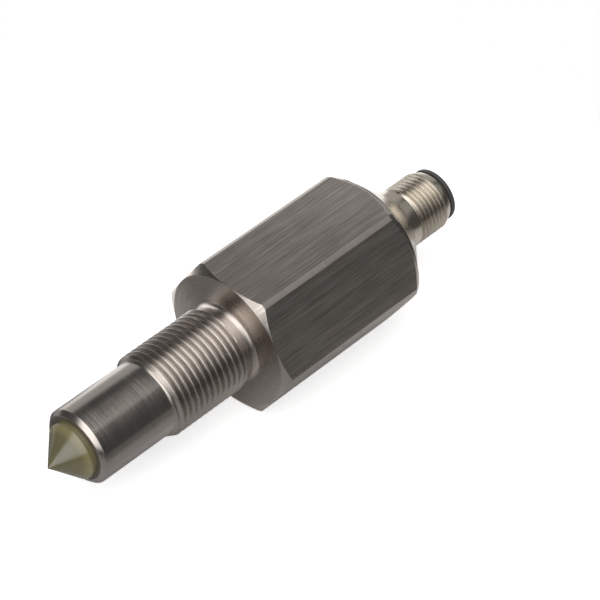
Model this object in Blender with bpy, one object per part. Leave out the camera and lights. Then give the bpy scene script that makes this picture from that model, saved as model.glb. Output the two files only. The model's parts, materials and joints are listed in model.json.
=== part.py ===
"""Optical level sensor: a stainless screw-in housing with a conical prism at the nose
and a round four-pin plug at the back.

X runs along the sensor from the prism to the plug, Z is up, and the sensor lies on one
wrench flat. Stations along the sensor are measured from the sealing face of the hexagon,
where X is 0 before the whole sensor is centred. All lengths are in metres.
"""
import math

import bmesh
import bpy
from mathutils import Matrix

# Gaps between pieces that touch, and how far a cut runs past what it cuts
SEAT_GAP = 0.00020
FINE_GAP = 0.00015
CUT_OVERRUN = 0.0010

# Hexagon
HEX_ACROSS_FLATS = 0.0270
HEX_LENGTH = 0.0360
HEX_CORNER_CUT = 0.00029
FACE_RIM_INSET = 0.00002
FRONT_CHAMFER_ANGLE = math.radians(30.0)
REAR_RIM_INSET = 0.00060
HEX_WALL = 0.0035
CAVITY_FLOOR = 0.0050
CAVITY_MOUTH_CHAMFER = 0.00030

# Rows along each turn of both threads, as shares of the pitch: the root and both edges of
# the crest; and the share of a turn over which the first and the last groove run out
THREAD_ROWS = (0.0, 0.42, 0.58)
RUNOUT_TURNS = 1.0 / 3.0

# Process thread, the relief behind it and the fillet that joins it to the sealing face
THREAD_DIAMETER = 0.01666
THREAD_PITCH = 0.001337
THREAD_DEPTH_PER_PITCH = 0.64
THREAD_REACH = 0.0202
NECK_LENGTH = 0.0027
ROOT_FILLET = 0.0010

# Sensing tube
SHANK_LENGTH = 0.0368
TUBE_RELIEF = 0.00010
MOUTH_CHAMFER = 0.00078
MOUTH_WALL = 0.00123
BORE_SHOULDER = 0.00090

# Prism, its adhesive ring and its seal
BOND_THICKNESS = 0.00035
BOND_DEPTH = 0.0010
POCKET_STEP = 0.00025
PRISM_HALF_ANGLE = math.radians(45.0)
PRISM_EDGE_ROUND = 0.00030
PRISM_TIP_ROUND = 0.00012
PRISM_SIDE_HEIGHT = 0.00090
PRISM_BODY_LENGTH = 0.0085
PRISM_GROOVE_SETBACK = 0.0032
SEAL_GROOVE_WIDTH = 0.0018
PRISM_GROOVE_DEPTH = 0.00110

# Optical parts and their holder
OPTICS_SPACING = 0.0044
LED_DIAMETER = 0.0024
LED_FLANGE_STEP = 0.00030
LED_FLANGE_THICKNESS = 0.0009
LED_LENGTH = 0.0052
LEAD_WIDTH = 0.00050
LEAD_LENGTH = 0.0062
HOLDER_TAIL = 0.0034

# Circuit board
BOARD_THICKNESS = 0.0016
BOARD_NARROW_WIDTH = 0.0084
BOARD_SETBACK = 0.0012
BOARD_REAR_SETBACK = 0.0075
BOARD_STEP_SETBACK = 0.0010
SOLDER_GAP = 0.00022
PART_CLEARANCE = 0.00050
PART_BEVEL = 0.00010

# Insulating sleeve in the hexagon
SLEEVE_WALL = 0.0013
SLOT_FLOOR_WALL = 0.00060

# Plug shell
PLUG_THREAD_DIAMETER = 0.0119
PLUG_PITCH = 0.0010
PLUG_DEPTH_PER_PITCH = 0.61
PLUG_WALL = 0.00050
FLANGE_STEP = 0.00010
FLANGE_RIM = 0.00020
COLLAR_STEP = 0.00035
COLLAR_BEVEL = 0.00018
PLUG_NECK_LENGTH = 0.00235
PLUG_THREAD_LENGTH = 0.0070
PLUG_CHAMFER_LENGTH = 0.00175
PLUG_CHAMFER_DEPTH = 0.00079
SPIGOT_LENGTH = 0.0058
SPIGOT_WALL = 0.0027
SPIGOT_GROOVE_SETBACK = 0.0022
SPIGOT_GROOVE_DEPTH = 0.0012
SHELL_WEB_SETBACK = 0.0018

# Contact carrier and contacts
LIP_THICKNESS = 0.00080
LIP_OVERHANG = 0.00019
LIP_ROUND = 0.00012
CUP_WALL = 0.00040
CUP_DEPTH = 0.0090
INSERT_LENGTH = 0.0093
BEAD_HEIGHT = 0.00036
BEAD_LENGTH = 0.00075
CARRIER_GROOVE_SETBACK = 0.0031
CARRIER_GROOVE_DEPTH = 0.0011
KEY_WIDTH = 0.0012
KEY_HEIGHT = 0.00055
PIN_DIAMETER = 0.0010
PIN_CIRCLE = 0.0050
PIN_RECESS = 0.0010
SOLDER_CUP_DIAMETER = 0.0016
SOLDER_CUP_LENGTH = 0.0032
SOLDER_CUP_BORE = 0.0010
SOLDER_CUP_DEPTH = 0.0020
PIN_ANGLES = [math.radians(45.0 + 90.0 * quarter) for quarter in range(4)]

# Wires from the contacts to the board
WIRE_DIAMETER = 0.0010
STRAND_DIAMETER = 0.00060
WIRE_LAP = 0.0020
WIRE_SPREAD = 0.0030

# Facets around each round piece
HOUSING_FACETS = 48
PLUG_FACETS = 40
PRISM_FACETS = 48
RING_FACETS = 28
SMALL_FACETS = 16

# Sizes that follow from the ones above
THREAD_RADIUS = THREAD_DIAMETER / 2
THREAD_DEPTH = THREAD_PITCH * THREAD_DEPTH_PER_PITCH
THREAD_ROOT = THREAD_RADIUS - THREAD_DEPTH
TUBE_RADIUS = THREAD_ROOT - TUBE_RELIEF
BOND_OUTER = TUBE_RADIUS - MOUTH_WALL - FINE_GAP
BOND_INNER = BOND_OUTER - BOND_THICKNESS
PRISM_RADIUS = BOND_INNER - FINE_GAP
POCKET_RADIUS = TUBE_RADIUS - MOUTH_WALL - POCKET_STEP
SHANK_BORE = POCKET_RADIUS - BORE_SHOULDER
TUBE_FACE = -SHANK_LENGTH
CONE_BASE = TUBE_FACE - PRISM_SIDE_HEIGHT - PRISM_EDGE_ROUND
PRISM_APEX = CONE_BASE - (PRISM_RADIUS - PRISM_EDGE_ROUND) / math.tan(PRISM_HALF_ANGLE)
PRISM_BACK = TUBE_FACE + PRISM_BODY_LENGTH
POCKET_FLOOR = PRISM_BACK + SEAT_GAP

HEX_FLAT_RADIUS = HEX_ACROSS_FLATS / 2
HEX_CORNER_RADIUS = HEX_ACROSS_FLATS / math.sqrt(3.0) - HEX_CORNER_CUT
FACE_RIM = HEX_FLAT_RADIUS - FACE_RIM_INSET
REAR_RIM = HEX_FLAT_RADIUS - REAR_RIM_INSET
CAVITY_RADIUS = HEX_FLAT_RADIUS - HEX_WALL

HOLDER_RADIUS = SHANK_BORE - SEAT_GAP
HOLDER_FRONT = POCKET_FLOOR + FINE_GAP
LED_REAR = HOLDER_FRONT + SEAT_GAP + LED_LENGTH
LED_FLANGE_RADIUS = LED_DIAMETER / 2 + LED_FLANGE_STEP
BOARD_FRONT = LED_REAR + BOARD_SETBACK
HOLDER_REAR = BOARD_FRONT + HOLDER_TAIL
BOARD_REAR = HEX_LENGTH - BOARD_REAR_SETBACK
BOARD_STEP = CAVITY_FLOOR + BOARD_STEP_SETBACK
LEAD_HEIGHT = BOARD_THICKNESS / 2 + SOLDER_GAP + LEAD_WIDTH / 2
LEAD_END = LED_REAR + FINE_GAP + LEAD_LENGTH

SLEEVE_OUTER = CAVITY_RADIUS - SEAT_GAP
SLEEVE_INNER = SLEEVE_OUTER - SLEEVE_WALL
SLOT_HALF_WIDTH = SLEEVE_OUTER - SLOT_FLOOR_WALL
BOARD_WIDE_WIDTH = 2 * (SLOT_HALF_WIDTH - SEAT_GAP)
SPIGOT_FRONT = HEX_LENGTH - SPIGOT_LENGTH
SLEEVE_FRONT = CAVITY_FLOOR + SEAT_GAP
SLEEVE_REAR = SPIGOT_FRONT - SEAT_GAP

PLUG_RADIUS = PLUG_THREAD_DIAMETER / 2
PLUG_ROOT = PLUG_RADIUS - PLUG_PITCH * PLUG_DEPTH_PER_PITCH
SHELL_BORE = PLUG_ROOT - PLUG_WALL
FLANGE_BACK = HEX_LENGTH + FINE_GAP
FLANGE_RADIUS = REAR_RIM + FLANGE_STEP
COLLAR_RADIUS = PLUG_RADIUS + COLLAR_STEP
FLANK_START = FLANGE_BACK + FLANGE_RIM
COLLAR = FLANK_START + FLANGE_RADIUS - COLLAR_RADIUS
NECK_START = COLLAR + COLLAR_BEVEL
PLUG_THREAD_START = NECK_START + PLUG_NECK_LENGTH
PLUG_THREAD_END = PLUG_THREAD_START + PLUG_THREAD_LENGTH
SHELL_FRONT = PLUG_THREAD_END + PLUG_CHAMFER_LENGTH
SHELL_FRONT_RADIUS = PLUG_RADIUS - PLUG_CHAMFER_DEPTH
SPIGOT_RADIUS = CAVITY_RADIUS - SEAT_GAP
SPIGOT_BORE = SPIGOT_RADIUS - SPIGOT_WALL
SHELL_WEB = HEX_LENGTH + SHELL_WEB_SETBACK

CARRIER_RADIUS = SHELL_BORE - SEAT_GAP
CUP_RADIUS = CARRIER_RADIUS - CUP_WALL
LIP_START = SHELL_FRONT + FINE_GAP
LIP_END = LIP_START + LIP_THICKNESS
LIP_RADIUS = SHELL_FRONT_RADIUS + LIP_OVERHANG
CUP_FLOOR = LIP_END - CUP_DEPTH
CARRIER_REAR = CUP_FLOOR - INSERT_LENGTH
PIN_RADIUS = PIN_DIAMETER / 2
PIN_TIP = LIP_END - PIN_RECESS
SOLDER_CUP_FRONT = CARRIER_REAR - SEAT_GAP
SOLDER_CUP_REAR = SOLDER_CUP_FRONT - SOLDER_CUP_LENGTH

CENTRE = (PRISM_APEX + LIP_END) / 2


def material(name, colour, roughness, metallic=0.0, transmission=0.0):
    finish = bpy.data.materials.new(name)
    finish.use_nodes = True
    shader = finish.node_tree.nodes["Principled BSDF"]
    shader.inputs["Base Color"].default_value = (*colour, 1.0)
    shader.inputs["Roughness"].default_value = roughness
    shader.inputs["Metallic"].default_value = metallic
    shader.inputs["Transmission Weight"].default_value = transmission
    return finish


def add_object(name, mesh_builder, finish, station=0.0, y=0.0, z=0.0):
    """Turns a bmesh into an object on the sensor's axis, at a station along it."""
    bmesh.ops.recalc_face_normals(mesh_builder, faces=mesh_builder.faces)
    mesh = bpy.data.meshes.new(name)
    mesh_builder.to_mesh(mesh)
    mesh_builder.free()
    mesh.shade_smooth()
    mesh.set_sharp_from_angle(angle=math.radians(30.0))
    piece = bpy.data.objects.new(name, mesh)
    bpy.context.scene.collection.objects.link(piece)
    piece.parent = AXIS
    piece.location = (station, y, z)
    if finish is not None:
        mesh.materials.append(finish)
    return piece


def cut(piece, tool, operation="DIFFERENCE"):
    """Cuts one piece with another that isn't part of the sensor."""
    modifier = piece.modifiers.new(operation.title(), "BOOLEAN")
    modifier.operation = operation
    modifier.solver = "EXACT"
    modifier.object = tool
    tool.hide_render = True
    tool.display_type = "WIRE"


def arc(centre_x, centre_r, radius, start, end, steps):
    """Points of an arc in the (x, r) plane, with angles in degrees from +x towards +r."""
    points = []
    for step in range(steps + 1):
        angle = math.radians(start + (end - start) * step / steps)
        points.append((centre_x + radius * math.cos(angle), centre_r + radius * math.sin(angle)))
    return points


def ring(builder, x, radius, facets, half_step=False):
    """One ring of points around the axis, or a single point on it."""
    if radius <= 0.0:
        return [builder.verts.new((x, 0.0, 0.0))]
    shift = 0.5 if half_step else 0.0
    points = []
    for facet in range(facets):
        angle = math.tau * (facet + shift) / facets
        points.append(builder.verts.new((x, radius * math.cos(angle), radius * math.sin(angle))))
    return points


def bridge(builder, first, second):
    """Fills the band between two rings, either of which may be a single point."""
    count = max(len(first), len(second))
    for index in range(count):
        after = (index + 1) % count
        corners = [first[index], first[after]] if len(first) > 1 else [first[0]]
        corners += [second[after], second[index]] if len(second) > 1 else [second[0]]
        builder.faces.new(corners)


def skin(builder, profile, facets, half_step=False):
    """Bridges the rings of an open (x, r) profile and returns its first and last ring."""
    rings = [ring(builder, x, radius, facets, half_step) for x, radius in profile]
    for first, second in zip(rings, rings[1:]):
        bridge(builder, first, second)
    return rings[0], rings[-1]


def turned(profile, facets, closed=False, half_step=False):
    """A turned solid from an (x, r) profile: open from axis to axis, or a closed loop."""
    builder = bmesh.new()
    first, last = skin(builder, profile, facets, half_step)
    if closed:
        bridge(builder, last, first)
    return builder


def thread(builder, before, after, start, pitch, turns, facets, radius_at, half_step=False):
    """A right-hand thread between two rings, as one strip wound around the axis.

    radius_at takes whether the row is a crest, how many turns lie behind the point, and its
    station. Its first and last radii match the rings beside them, so the ends close flat.
    """
    wrap = len(THREAD_ROWS)
    rows = turns * wrap
    columns = []
    for facet in range(facets):
        column = []
        extra = wrap if facet == 0 else 0
        for row in range(rows + extra + 1):
            along = row // wrap + THREAD_ROWS[row % wrap] + facet / facets
            x = start + pitch * along
            radius = radius_at(row % wrap > 0, row // wrap + facet / facets, x)
            angle = math.tau * (facet + (0.5 if half_step else 0.0)) / facets
            column.append(builder.verts.new((x, radius * math.cos(angle), radius * math.sin(angle))))
        columns.append(column)
    for facet in range(facets):
        near = columns[facet]
        following = columns[(facet + 1) % facets]
        step = wrap if facet == facets - 1 else 0
        for row in range(rows):
            builder.faces.new([near[row], following[row + step], following[row + step + 1], near[row + 1]])
        ahead = (facet + 1) % facets
        start_side = [following[row] for row in range(step + 1)]
        builder.faces.new([before[facet], before[ahead]] + start_side + [near[0]])
        end_side = [near[row] for row in range(len(near) - 1, rows - 1, -1)]
        builder.faces.new(end_side + [following[rows + step], after[ahead], after[facet]])


def block(length, width, height, bevel):
    """A rounded block about its own centre."""
    builder = bmesh.new()
    bmesh.ops.create_cube(builder, size=1.0, matrix=Matrix.Diagonal((length, width, height, 1.0)))
    if bevel > 0.0:
        bmesh.ops.bevel(builder, geom=builder.edges[:], offset=bevel, segments=1, affect="EDGES")
    return builder


def torus(centre_radius, section_radius):
    """A rubber ring about its own centre."""
    sides = 6
    turn = 360.0 / sides
    section = arc(0.0, centre_radius, section_radius, turn / 2, 360.0 - turn / 2, sides - 1)
    return turned(section, RING_FACETS, closed=True)


def make_hexagon():
    """The hexagonal bar that the housing is turned from."""
    reach = SHANK_LENGTH + HEX_LENGTH
    builder = bmesh.new()
    corners = HEX_ACROSS_FLATS / math.sqrt(3.0)
    ends = [ring(builder, side * reach, corners, 6) for side in (-1, 1)]
    bridge(builder, ends[0], ends[1])
    for end in ends:
        builder.faces.new(end)
    return add_object("hexagonal_bar", builder, None)


def process_thread_radius(is_crest, turns_behind, turns):
    """The ridge rises quickly from the root at its start and falls back to it at its end."""
    if not is_crest:
        return THREAD_ROOT
    runout = min(turns_behind, turns - turns_behind) / RUNOUT_TURNS
    return THREAD_ROOT + THREAD_DEPTH * min(1.0, max(0.0, runout))


def make_housing():
    """Tube, process thread and hexagon: one turned piece, bored through."""
    mouth_radius = TUBE_RADIUS - MOUTH_WALL
    front_face_chamfer = (HEX_CORNER_RADIUS - FACE_RIM) * math.tan(FRONT_CHAMFER_ANGLE)
    rear_chamfer = HEX_CORNER_RADIUS - REAR_RIM
    thread_start = -THREAD_REACH + TUBE_RELIEF
    turns = int((-NECK_LENGTH - thread_start) / THREAD_PITCH) - 1

    nose = [
        (POCKET_FLOOR, SHANK_BORE),
        (POCKET_FLOOR, POCKET_RADIUS),
        (TUBE_FACE + BOND_DEPTH + FINE_GAP, POCKET_RADIUS),
        (TUBE_FACE + BOND_DEPTH + FINE_GAP, mouth_radius),
        (TUBE_FACE, mouth_radius),
        (TUBE_FACE, TUBE_RADIUS - MOUTH_CHAMFER),
        (TUBE_FACE + MOUTH_CHAMFER, TUBE_RADIUS),
        (-THREAD_REACH, TUBE_RADIUS),
        (thread_start - TUBE_RELIEF / 2, THREAD_ROOT),
    ]
    fillet = arc(-ROOT_FILLET, TUBE_RADIUS + ROOT_FILLET, ROOT_FILLET, -90.0, 0.0, 5)
    back = [
        (-NECK_LENGTH, THREAD_ROOT),
        (-NECK_LENGTH + TUBE_RELIEF, TUBE_RADIUS),
        *fillet,
        (0.0, FACE_RIM),
        (front_face_chamfer, HEX_CORNER_RADIUS),
        (HEX_LENGTH - rear_chamfer, HEX_CORNER_RADIUS),
        (HEX_LENGTH, REAR_RIM),
        (HEX_LENGTH, CAVITY_RADIUS + CAVITY_MOUTH_CHAMFER),
        (HEX_LENGTH - CAVITY_MOUTH_CHAMFER, CAVITY_RADIUS),
        (CAVITY_FLOOR, CAVITY_RADIUS),
        (CAVITY_FLOOR, SHANK_BORE),
    ]
    builder = bmesh.new()
    nose_first, nose_last = skin(builder, nose, HOUSING_FACETS, half_step=True)
    back_first, back_last = skin(builder, back, HOUSING_FACETS, half_step=True)
    thread(
        builder, nose_last, back_first, thread_start, THREAD_PITCH, turns, HOUSING_FACETS,
        lambda is_crest, behind, x: process_thread_radius(is_crest, behind, turns), half_step=True,
    )
    bridge(builder, back_last, nose_first)
    housing = add_object("housing", builder, STEEL)
    cut(housing, make_hexagon(), "INTERSECT")


def make_prism():
    """A 90 degree cone on a round body, with a groove for its rubber ring."""
    groove_front = PRISM_GROOVE_SETBACK
    groove_rear = groove_front + SEAL_GROOVE_WIDTH
    groove_radius = PRISM_RADIUS - PRISM_GROOVE_DEPTH
    apex = PRISM_APEX - TUBE_FACE
    tip = arc(apex + PRISM_TIP_ROUND, 0.0, PRISM_TIP_ROUND, 180.0, 112.5, 2)
    tip[0] = (apex, 0.0)
    edge = arc(-PRISM_SIDE_HEIGHT, PRISM_RADIUS - PRISM_EDGE_ROUND, PRISM_EDGE_ROUND, 180.0, 90.0, 2)
    profile = [
        *tip,
        *edge,
        (groove_front, PRISM_RADIUS),
        (groove_front, groove_radius),
        (groove_rear, groove_radius),
        (groove_rear, PRISM_RADIUS),
        (PRISM_BODY_LENGTH, PRISM_RADIUS),
        (PRISM_BODY_LENGTH, 0.0),
    ]
    add_object("prism", turned(profile, PRISM_FACETS), PRISM_RESIN, TUBE_FACE)


def make_prism_bond():
    """The ring of adhesive between the prism and the tube's mouth."""
    front = FINE_GAP / 2
    profile = [
        (front, BOND_INNER),
        (front, BOND_OUTER),
        (BOND_DEPTH, BOND_OUTER),
        (BOND_DEPTH, BOND_INNER),
    ]
    add_object("prism_bond", turned(profile, RING_FACETS, closed=True), ADHESIVE, TUBE_FACE)


def make_seal(name, groove_radius, bore_radius, station):
    """A rubber ring that fills the space between a groove and the bore around it."""
    section = (bore_radius - groove_radius) / 2 - FINE_GAP
    add_object(name, torus((bore_radius + groove_radius) / 2, section), RUBBER, station)


def make_seals():
    half_groove = SEAL_GROOVE_WIDTH / 2
    make_seal("prism_o_ring", PRISM_RADIUS - PRISM_GROOVE_DEPTH, POCKET_RADIUS,
              TUBE_FACE + PRISM_GROOVE_SETBACK + half_groove)
    make_seal("plug_shell_o_ring", SPIGOT_RADIUS - SPIGOT_GROOVE_DEPTH, CAVITY_RADIUS,
              SPIGOT_FRONT + SPIGOT_GROOVE_SETBACK + half_groove)
    make_seal("carrier_o_ring", CARRIER_RADIUS - CARRIER_GROOVE_DEPTH, SHELL_BORE,
              CARRIER_REAR + CARRIER_GROOVE_SETBACK + half_groove)


def make_optics_holder():
    """A round block with two stepped bores for the optical parts and a slot for the board."""
    length = HOLDER_REAR - HOLDER_FRONT
    body = [(0.0, 0.0), (0.0, HOLDER_RADIUS), (length, HOLDER_RADIUS), (length, 0.0)]
    holder = add_object("optics_holder", turned(body, RING_FACETS), BLACK_PLASTIC, HOLDER_FRONT)
    flange_seat = LED_REAR - LED_FLANGE_THICKNESS - FINE_GAP - HOLDER_FRONT
    front_bore = LED_DIAMETER / 2 + FINE_GAP
    rear_bore = LED_FLANGE_RADIUS + FINE_GAP
    bore = [
        (-CUT_OVERRUN, 0.0),
        (-CUT_OVERRUN, front_bore),
        (flange_seat, front_bore),
        (flange_seat, rear_bore),
        (length + CUT_OVERRUN, rear_bore),
        (length + CUT_OVERRUN, 0.0),
    ]
    for side in (-1, 1):
        tool = add_object(f"optics_bore_{side}", turned(bore, SMALL_FACETS), None, HOLDER_FRONT,
                          side * OPTICS_SPACING / 2)
        cut(holder, tool)
    slot_front = BOARD_FRONT - SEAT_GAP
    slot_length = HOLDER_REAR + CUT_OVERRUN - slot_front
    slot = block(slot_length, 4 * HOLDER_RADIUS, BOARD_THICKNESS + 2 * FINE_GAP, 0.0)
    cut(holder, add_object("board_slot", slot, None, slot_front + slot_length / 2))


def make_optical_part(name, side, finish, lead_names):
    """A small lensed part with a flange, and its two leads astride the board."""
    radius = LED_DIAMETER / 2
    dome_start = -LED_LENGTH + radius
    dome = arc(dome_start, 0.0, radius, 180.0, 90.0, 4)
    dome[0] = (-LED_LENGTH, 0.0)
    profile = [
        *dome,
        (-LED_FLANGE_THICKNESS, radius),
        (-LED_FLANGE_THICKNESS, LED_FLANGE_RADIUS),
        (0.0, LED_FLANGE_RADIUS),
        (0.0, 0.0),
    ]
    y = side * OPTICS_SPACING / 2
    add_object(name, turned(profile, SMALL_FACETS), finish, LED_REAR, y)
    for lead_name, level in zip(lead_names, (1, -1)):
        lead = block(LEAD_LENGTH, LEAD_WIDTH, LEAD_WIDTH, 0.0)
        add_object(lead_name, lead, TIN, LEAD_END - LEAD_LENGTH / 2, y, level * LEAD_HEIGHT)


def make_circuit_board():
    """One board: narrow where it runs down the shank, wide inside the hexagon."""
    narrow = BOARD_NARROW_WIDTH / 2
    wide = BOARD_WIDE_WIDTH / 2
    half_outline = [
        (BOARD_FRONT, narrow),
        (BOARD_STEP, narrow),
        (BOARD_STEP, wide),
        (BOARD_REAR, wide),
    ]
    outline = half_outline + [(x, -y) for x, y in reversed(half_outline)]
    builder = bmesh.new()
    bottom = [builder.verts.new((x, y, -BOARD_THICKNESS / 2)) for x, y in outline]
    face = builder.faces.new(bottom)
    raised = bmesh.ops.extrude_face_region(builder, geom=[face])
    top = [item for item in raised["geom"] if isinstance(item, bmesh.types.BMVert)]
    bmesh.ops.translate(builder, verts=top, vec=(0.0, 0.0, BOARD_THICKNESS))
    add_object("circuit_board", builder, BOARD)


def make_board_parts():
    """The parts soldered to the board's narrow and wide stretches.

    Their stations and lengths are shares of the stretch, their offsets and widths are shares
    of the board's width there, and their heights are counted in board thicknesses.
    """
    # name, side of the board, station, offset, length, width, height, finish
    narrow_parts = [
        ("amplifier", 1, 0.36, 0.0, 0.23, 0.48, 0.94, CHIP),
        ("capacitor_1", -1, 0.40, 0.0, 0.15, 0.19, 0.75, CERAMIC),
        ("resistor_1", 1, 0.09, 0.24, 0.09, 0.14, 0.38, CHIP),
        ("resistor_2", 1, 0.09, -0.24, 0.09, 0.14, 0.38, CHIP),
        ("resistor_3", 1, 0.68, 0.24, 0.09, 0.14, 0.38, CHIP),
        ("resistor_4", 1, 0.68, -0.24, 0.09, 0.14, 0.38, CHIP),
    ]
    wide_parts = [
        ("controller", 1, 0.42, 0.0, 0.34, 0.39, 0.88, CHIP),
        ("capacitor_2", 1, 0.42, 0.30, 0.16, 0.09, 0.75, CERAMIC),
        ("regulator", 1, 0.75, 0.22, 0.22, 0.14, 0.94, CHIP),
        ("output_transistor", 1, 0.75, -0.22, 0.22, 0.14, 0.94, CHIP),
        ("protection_diode", -1, 0.70, 0.22, 0.21, 0.14, 1.30, CHIP),
        ("capacitor_3", -1, 0.56, -0.22, 0.29, 0.18, 1.55, TANTALUM),
    ]
    stretches = [
        (LEAD_END + PART_CLEARANCE, BOARD_STEP, BOARD_NARROW_WIDTH, narrow_parts),
        (BOARD_STEP, BOARD_REAR - WIRE_LAP, BOARD_WIDE_WIDTH, wide_parts),
    ]
    for start, end, across, parts in stretches:
        for name, side, station, offset, length, width, height, finish in parts:
            height = height * BOARD_THICKNESS
            body = block(length * (end - start), width * across, height, PART_BEVEL)
            level = side * (BOARD_THICKNESS / 2 + FINE_GAP + height / 2)
            add_object(name, body, finish, start + station * (end - start), offset * across, level)


def make_board_sleeve():
    """An insulating tube whose two inner slots hold the board's long edges."""
    length = SLEEVE_REAR - SLEEVE_FRONT
    wall = [(0.0, SLEEVE_INNER), (0.0, SLEEVE_OUTER), (length, SLEEVE_OUTER), (length, SLEEVE_INNER)]
    sleeve = add_object("board_sleeve", turned(wall, HOUSING_FACETS, closed=True), SLEEVE, SLEEVE_FRONT)
    slots = block(2 * length, 2 * SLOT_HALF_WIDTH, BOARD_THICKNESS + 2 * FINE_GAP, 0.0)
    cut(sleeve, add_object("sleeve_slots", slots, None, SLEEVE_FRONT + length / 2))


def plug_chamfer(x):
    """Radius of the cone that ends the plug's thread."""
    return PLUG_RADIUS - (x - PLUG_THREAD_END) * PLUG_CHAMFER_DEPTH / PLUG_CHAMFER_LENGTH


def plug_thread_radius(is_crest, turns_behind, turns, x):
    """The first groove runs in quickly, and the last one runs out on the chamfer."""
    outside = min(PLUG_RADIUS, plug_chamfer(x))
    if is_crest:
        return outside
    run_in = min(1.0, turns_behind / RUNOUT_TURNS)
    run_out = min(1.0, max(0.0, turns - turns_behind))
    return outside - (outside - min(PLUG_ROOT, outside)) * run_in * run_out


def make_plug_shell():
    """Nickel-plated shell: spigot, flank, ridge, neck and thread, bored for the carrier."""
    turns = int((SHELL_FRONT - PLUG_THREAD_START - FINE_GAP) / PLUG_PITCH) - 1
    thread_end = PLUG_THREAD_START + PLUG_PITCH * (turns + 1)
    ring_end = thread_end + (SHELL_FRONT - thread_end) / 2
    groove_front = SPIGOT_FRONT + SPIGOT_GROOVE_SETBACK
    groove_rear = groove_front + SEAL_GROOVE_WIDTH
    groove_radius = SPIGOT_RADIUS - SPIGOT_GROOVE_DEPTH
    body = [
        (SHELL_WEB, SHELL_BORE),
        (SHELL_WEB, SPIGOT_BORE),
        (SPIGOT_FRONT, SPIGOT_BORE),
        (SPIGOT_FRONT, SPIGOT_RADIUS - CAVITY_MOUTH_CHAMFER),
        (SPIGOT_FRONT + CAVITY_MOUTH_CHAMFER, SPIGOT_RADIUS),
        (groove_front, SPIGOT_RADIUS),
        (groove_front, groove_radius),
        (groove_rear, groove_radius),
        (groove_rear, SPIGOT_RADIUS),
        (FLANGE_BACK, SPIGOT_RADIUS),
        (FLANGE_BACK, FLANGE_RADIUS),
        (FLANK_START, FLANGE_RADIUS),
        (COLLAR, COLLAR_RADIUS),
        (NECK_START, PLUG_RADIUS),
        (PLUG_THREAD_START - FINE_GAP, PLUG_RADIUS),
    ]
    front = [
        (ring_end, plug_chamfer(ring_end)),
        (SHELL_FRONT, SHELL_FRONT_RADIUS),
        (SHELL_FRONT, SHELL_BORE),
    ]
    builder = bmesh.new()
    body_first, body_last = skin(builder, body, PLUG_FACETS)
    front_first, front_last = skin(builder, front, PLUG_FACETS)
    thread(
        builder, body_last, front_first, PLUG_THREAD_START, PLUG_PITCH, turns, PLUG_FACETS,
        lambda is_crest, behind, x: plug_thread_radius(is_crest, behind, turns, x),
    )
    bridge(builder, front_last, body_first)
    add_object("plug_shell", builder, NICKEL)


def make_contact_carrier():
    """Black cup with a lip, a floor that holds the pins, a key rib and a snap bead."""
    groove_rear = CARRIER_REAR + CARRIER_GROOVE_SETBACK
    groove_front = groove_rear + SEAL_GROOVE_WIDTH
    groove_radius = CARRIER_RADIUS - CARRIER_GROOVE_DEPTH
    bead_front = SHELL_WEB - SEAT_GAP
    bead_rear = bead_front - BEAD_LENGTH
    profile = [
        (CARRIER_REAR, 0.0),
        (CARRIER_REAR, CARRIER_RADIUS - BEAD_HEIGHT),
        (bead_rear, CARRIER_RADIUS),
        (bead_rear + BEAD_LENGTH / 2, CARRIER_RADIUS + BEAD_HEIGHT),
        (bead_front, CARRIER_RADIUS + BEAD_HEIGHT),
        (bead_front, CARRIER_RADIUS),
        (groove_rear, CARRIER_RADIUS),
        (groove_rear, groove_radius),
        (groove_front, groove_radius),
        (groove_front, CARRIER_RADIUS),
        (LIP_START, CARRIER_RADIUS),
        (LIP_START, LIP_RADIUS),
        (LIP_END - LIP_ROUND, LIP_RADIUS),
        (LIP_END, LIP_RADIUS - LIP_ROUND),
        (LIP_END, CUP_RADIUS + LIP_ROUND),
        (LIP_END - LIP_ROUND, CUP_RADIUS),
        (CUP_FLOOR, CUP_RADIUS),
        (CUP_FLOOR, 0.0),
    ]
    carrier = add_object("contact_carrier", turned(profile, PLUG_FACETS), BLACK_PLASTIC)
    hole_start = CARRIER_REAR - CUT_OVERRUN
    hole_length = INSERT_LENGTH + 2 * CUT_OVERRUN
    hole_radius = PIN_RADIUS + FINE_GAP
    hole = [(0.0, 0.0), (0.0, hole_radius), (hole_length, hole_radius), (hole_length, 0.0)]
    for number, angle in enumerate(PIN_ANGLES, start=1):
        y = PIN_CIRCLE / 2 * math.cos(angle)
        z = PIN_CIRCLE / 2 * math.sin(angle)
        cut(carrier, add_object(f"pin_hole_{number}", turned(hole, SMALL_FACETS), None, hole_start, y, z))
    key_root = CUP_WALL / 2
    key_length = CUP_DEPTH - PIN_RECESS + key_root
    key_depth = KEY_HEIGHT + key_root
    key = block(key_length, KEY_WIDTH, key_depth, 0.0)
    key_tool = add_object("key_rib", key, None, CUP_FLOOR - key_root + key_length / 2, 0.0,
                          CUP_RADIUS - KEY_HEIGHT + key_depth / 2)
    cut(carrier, key_tool, "UNION")


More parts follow.
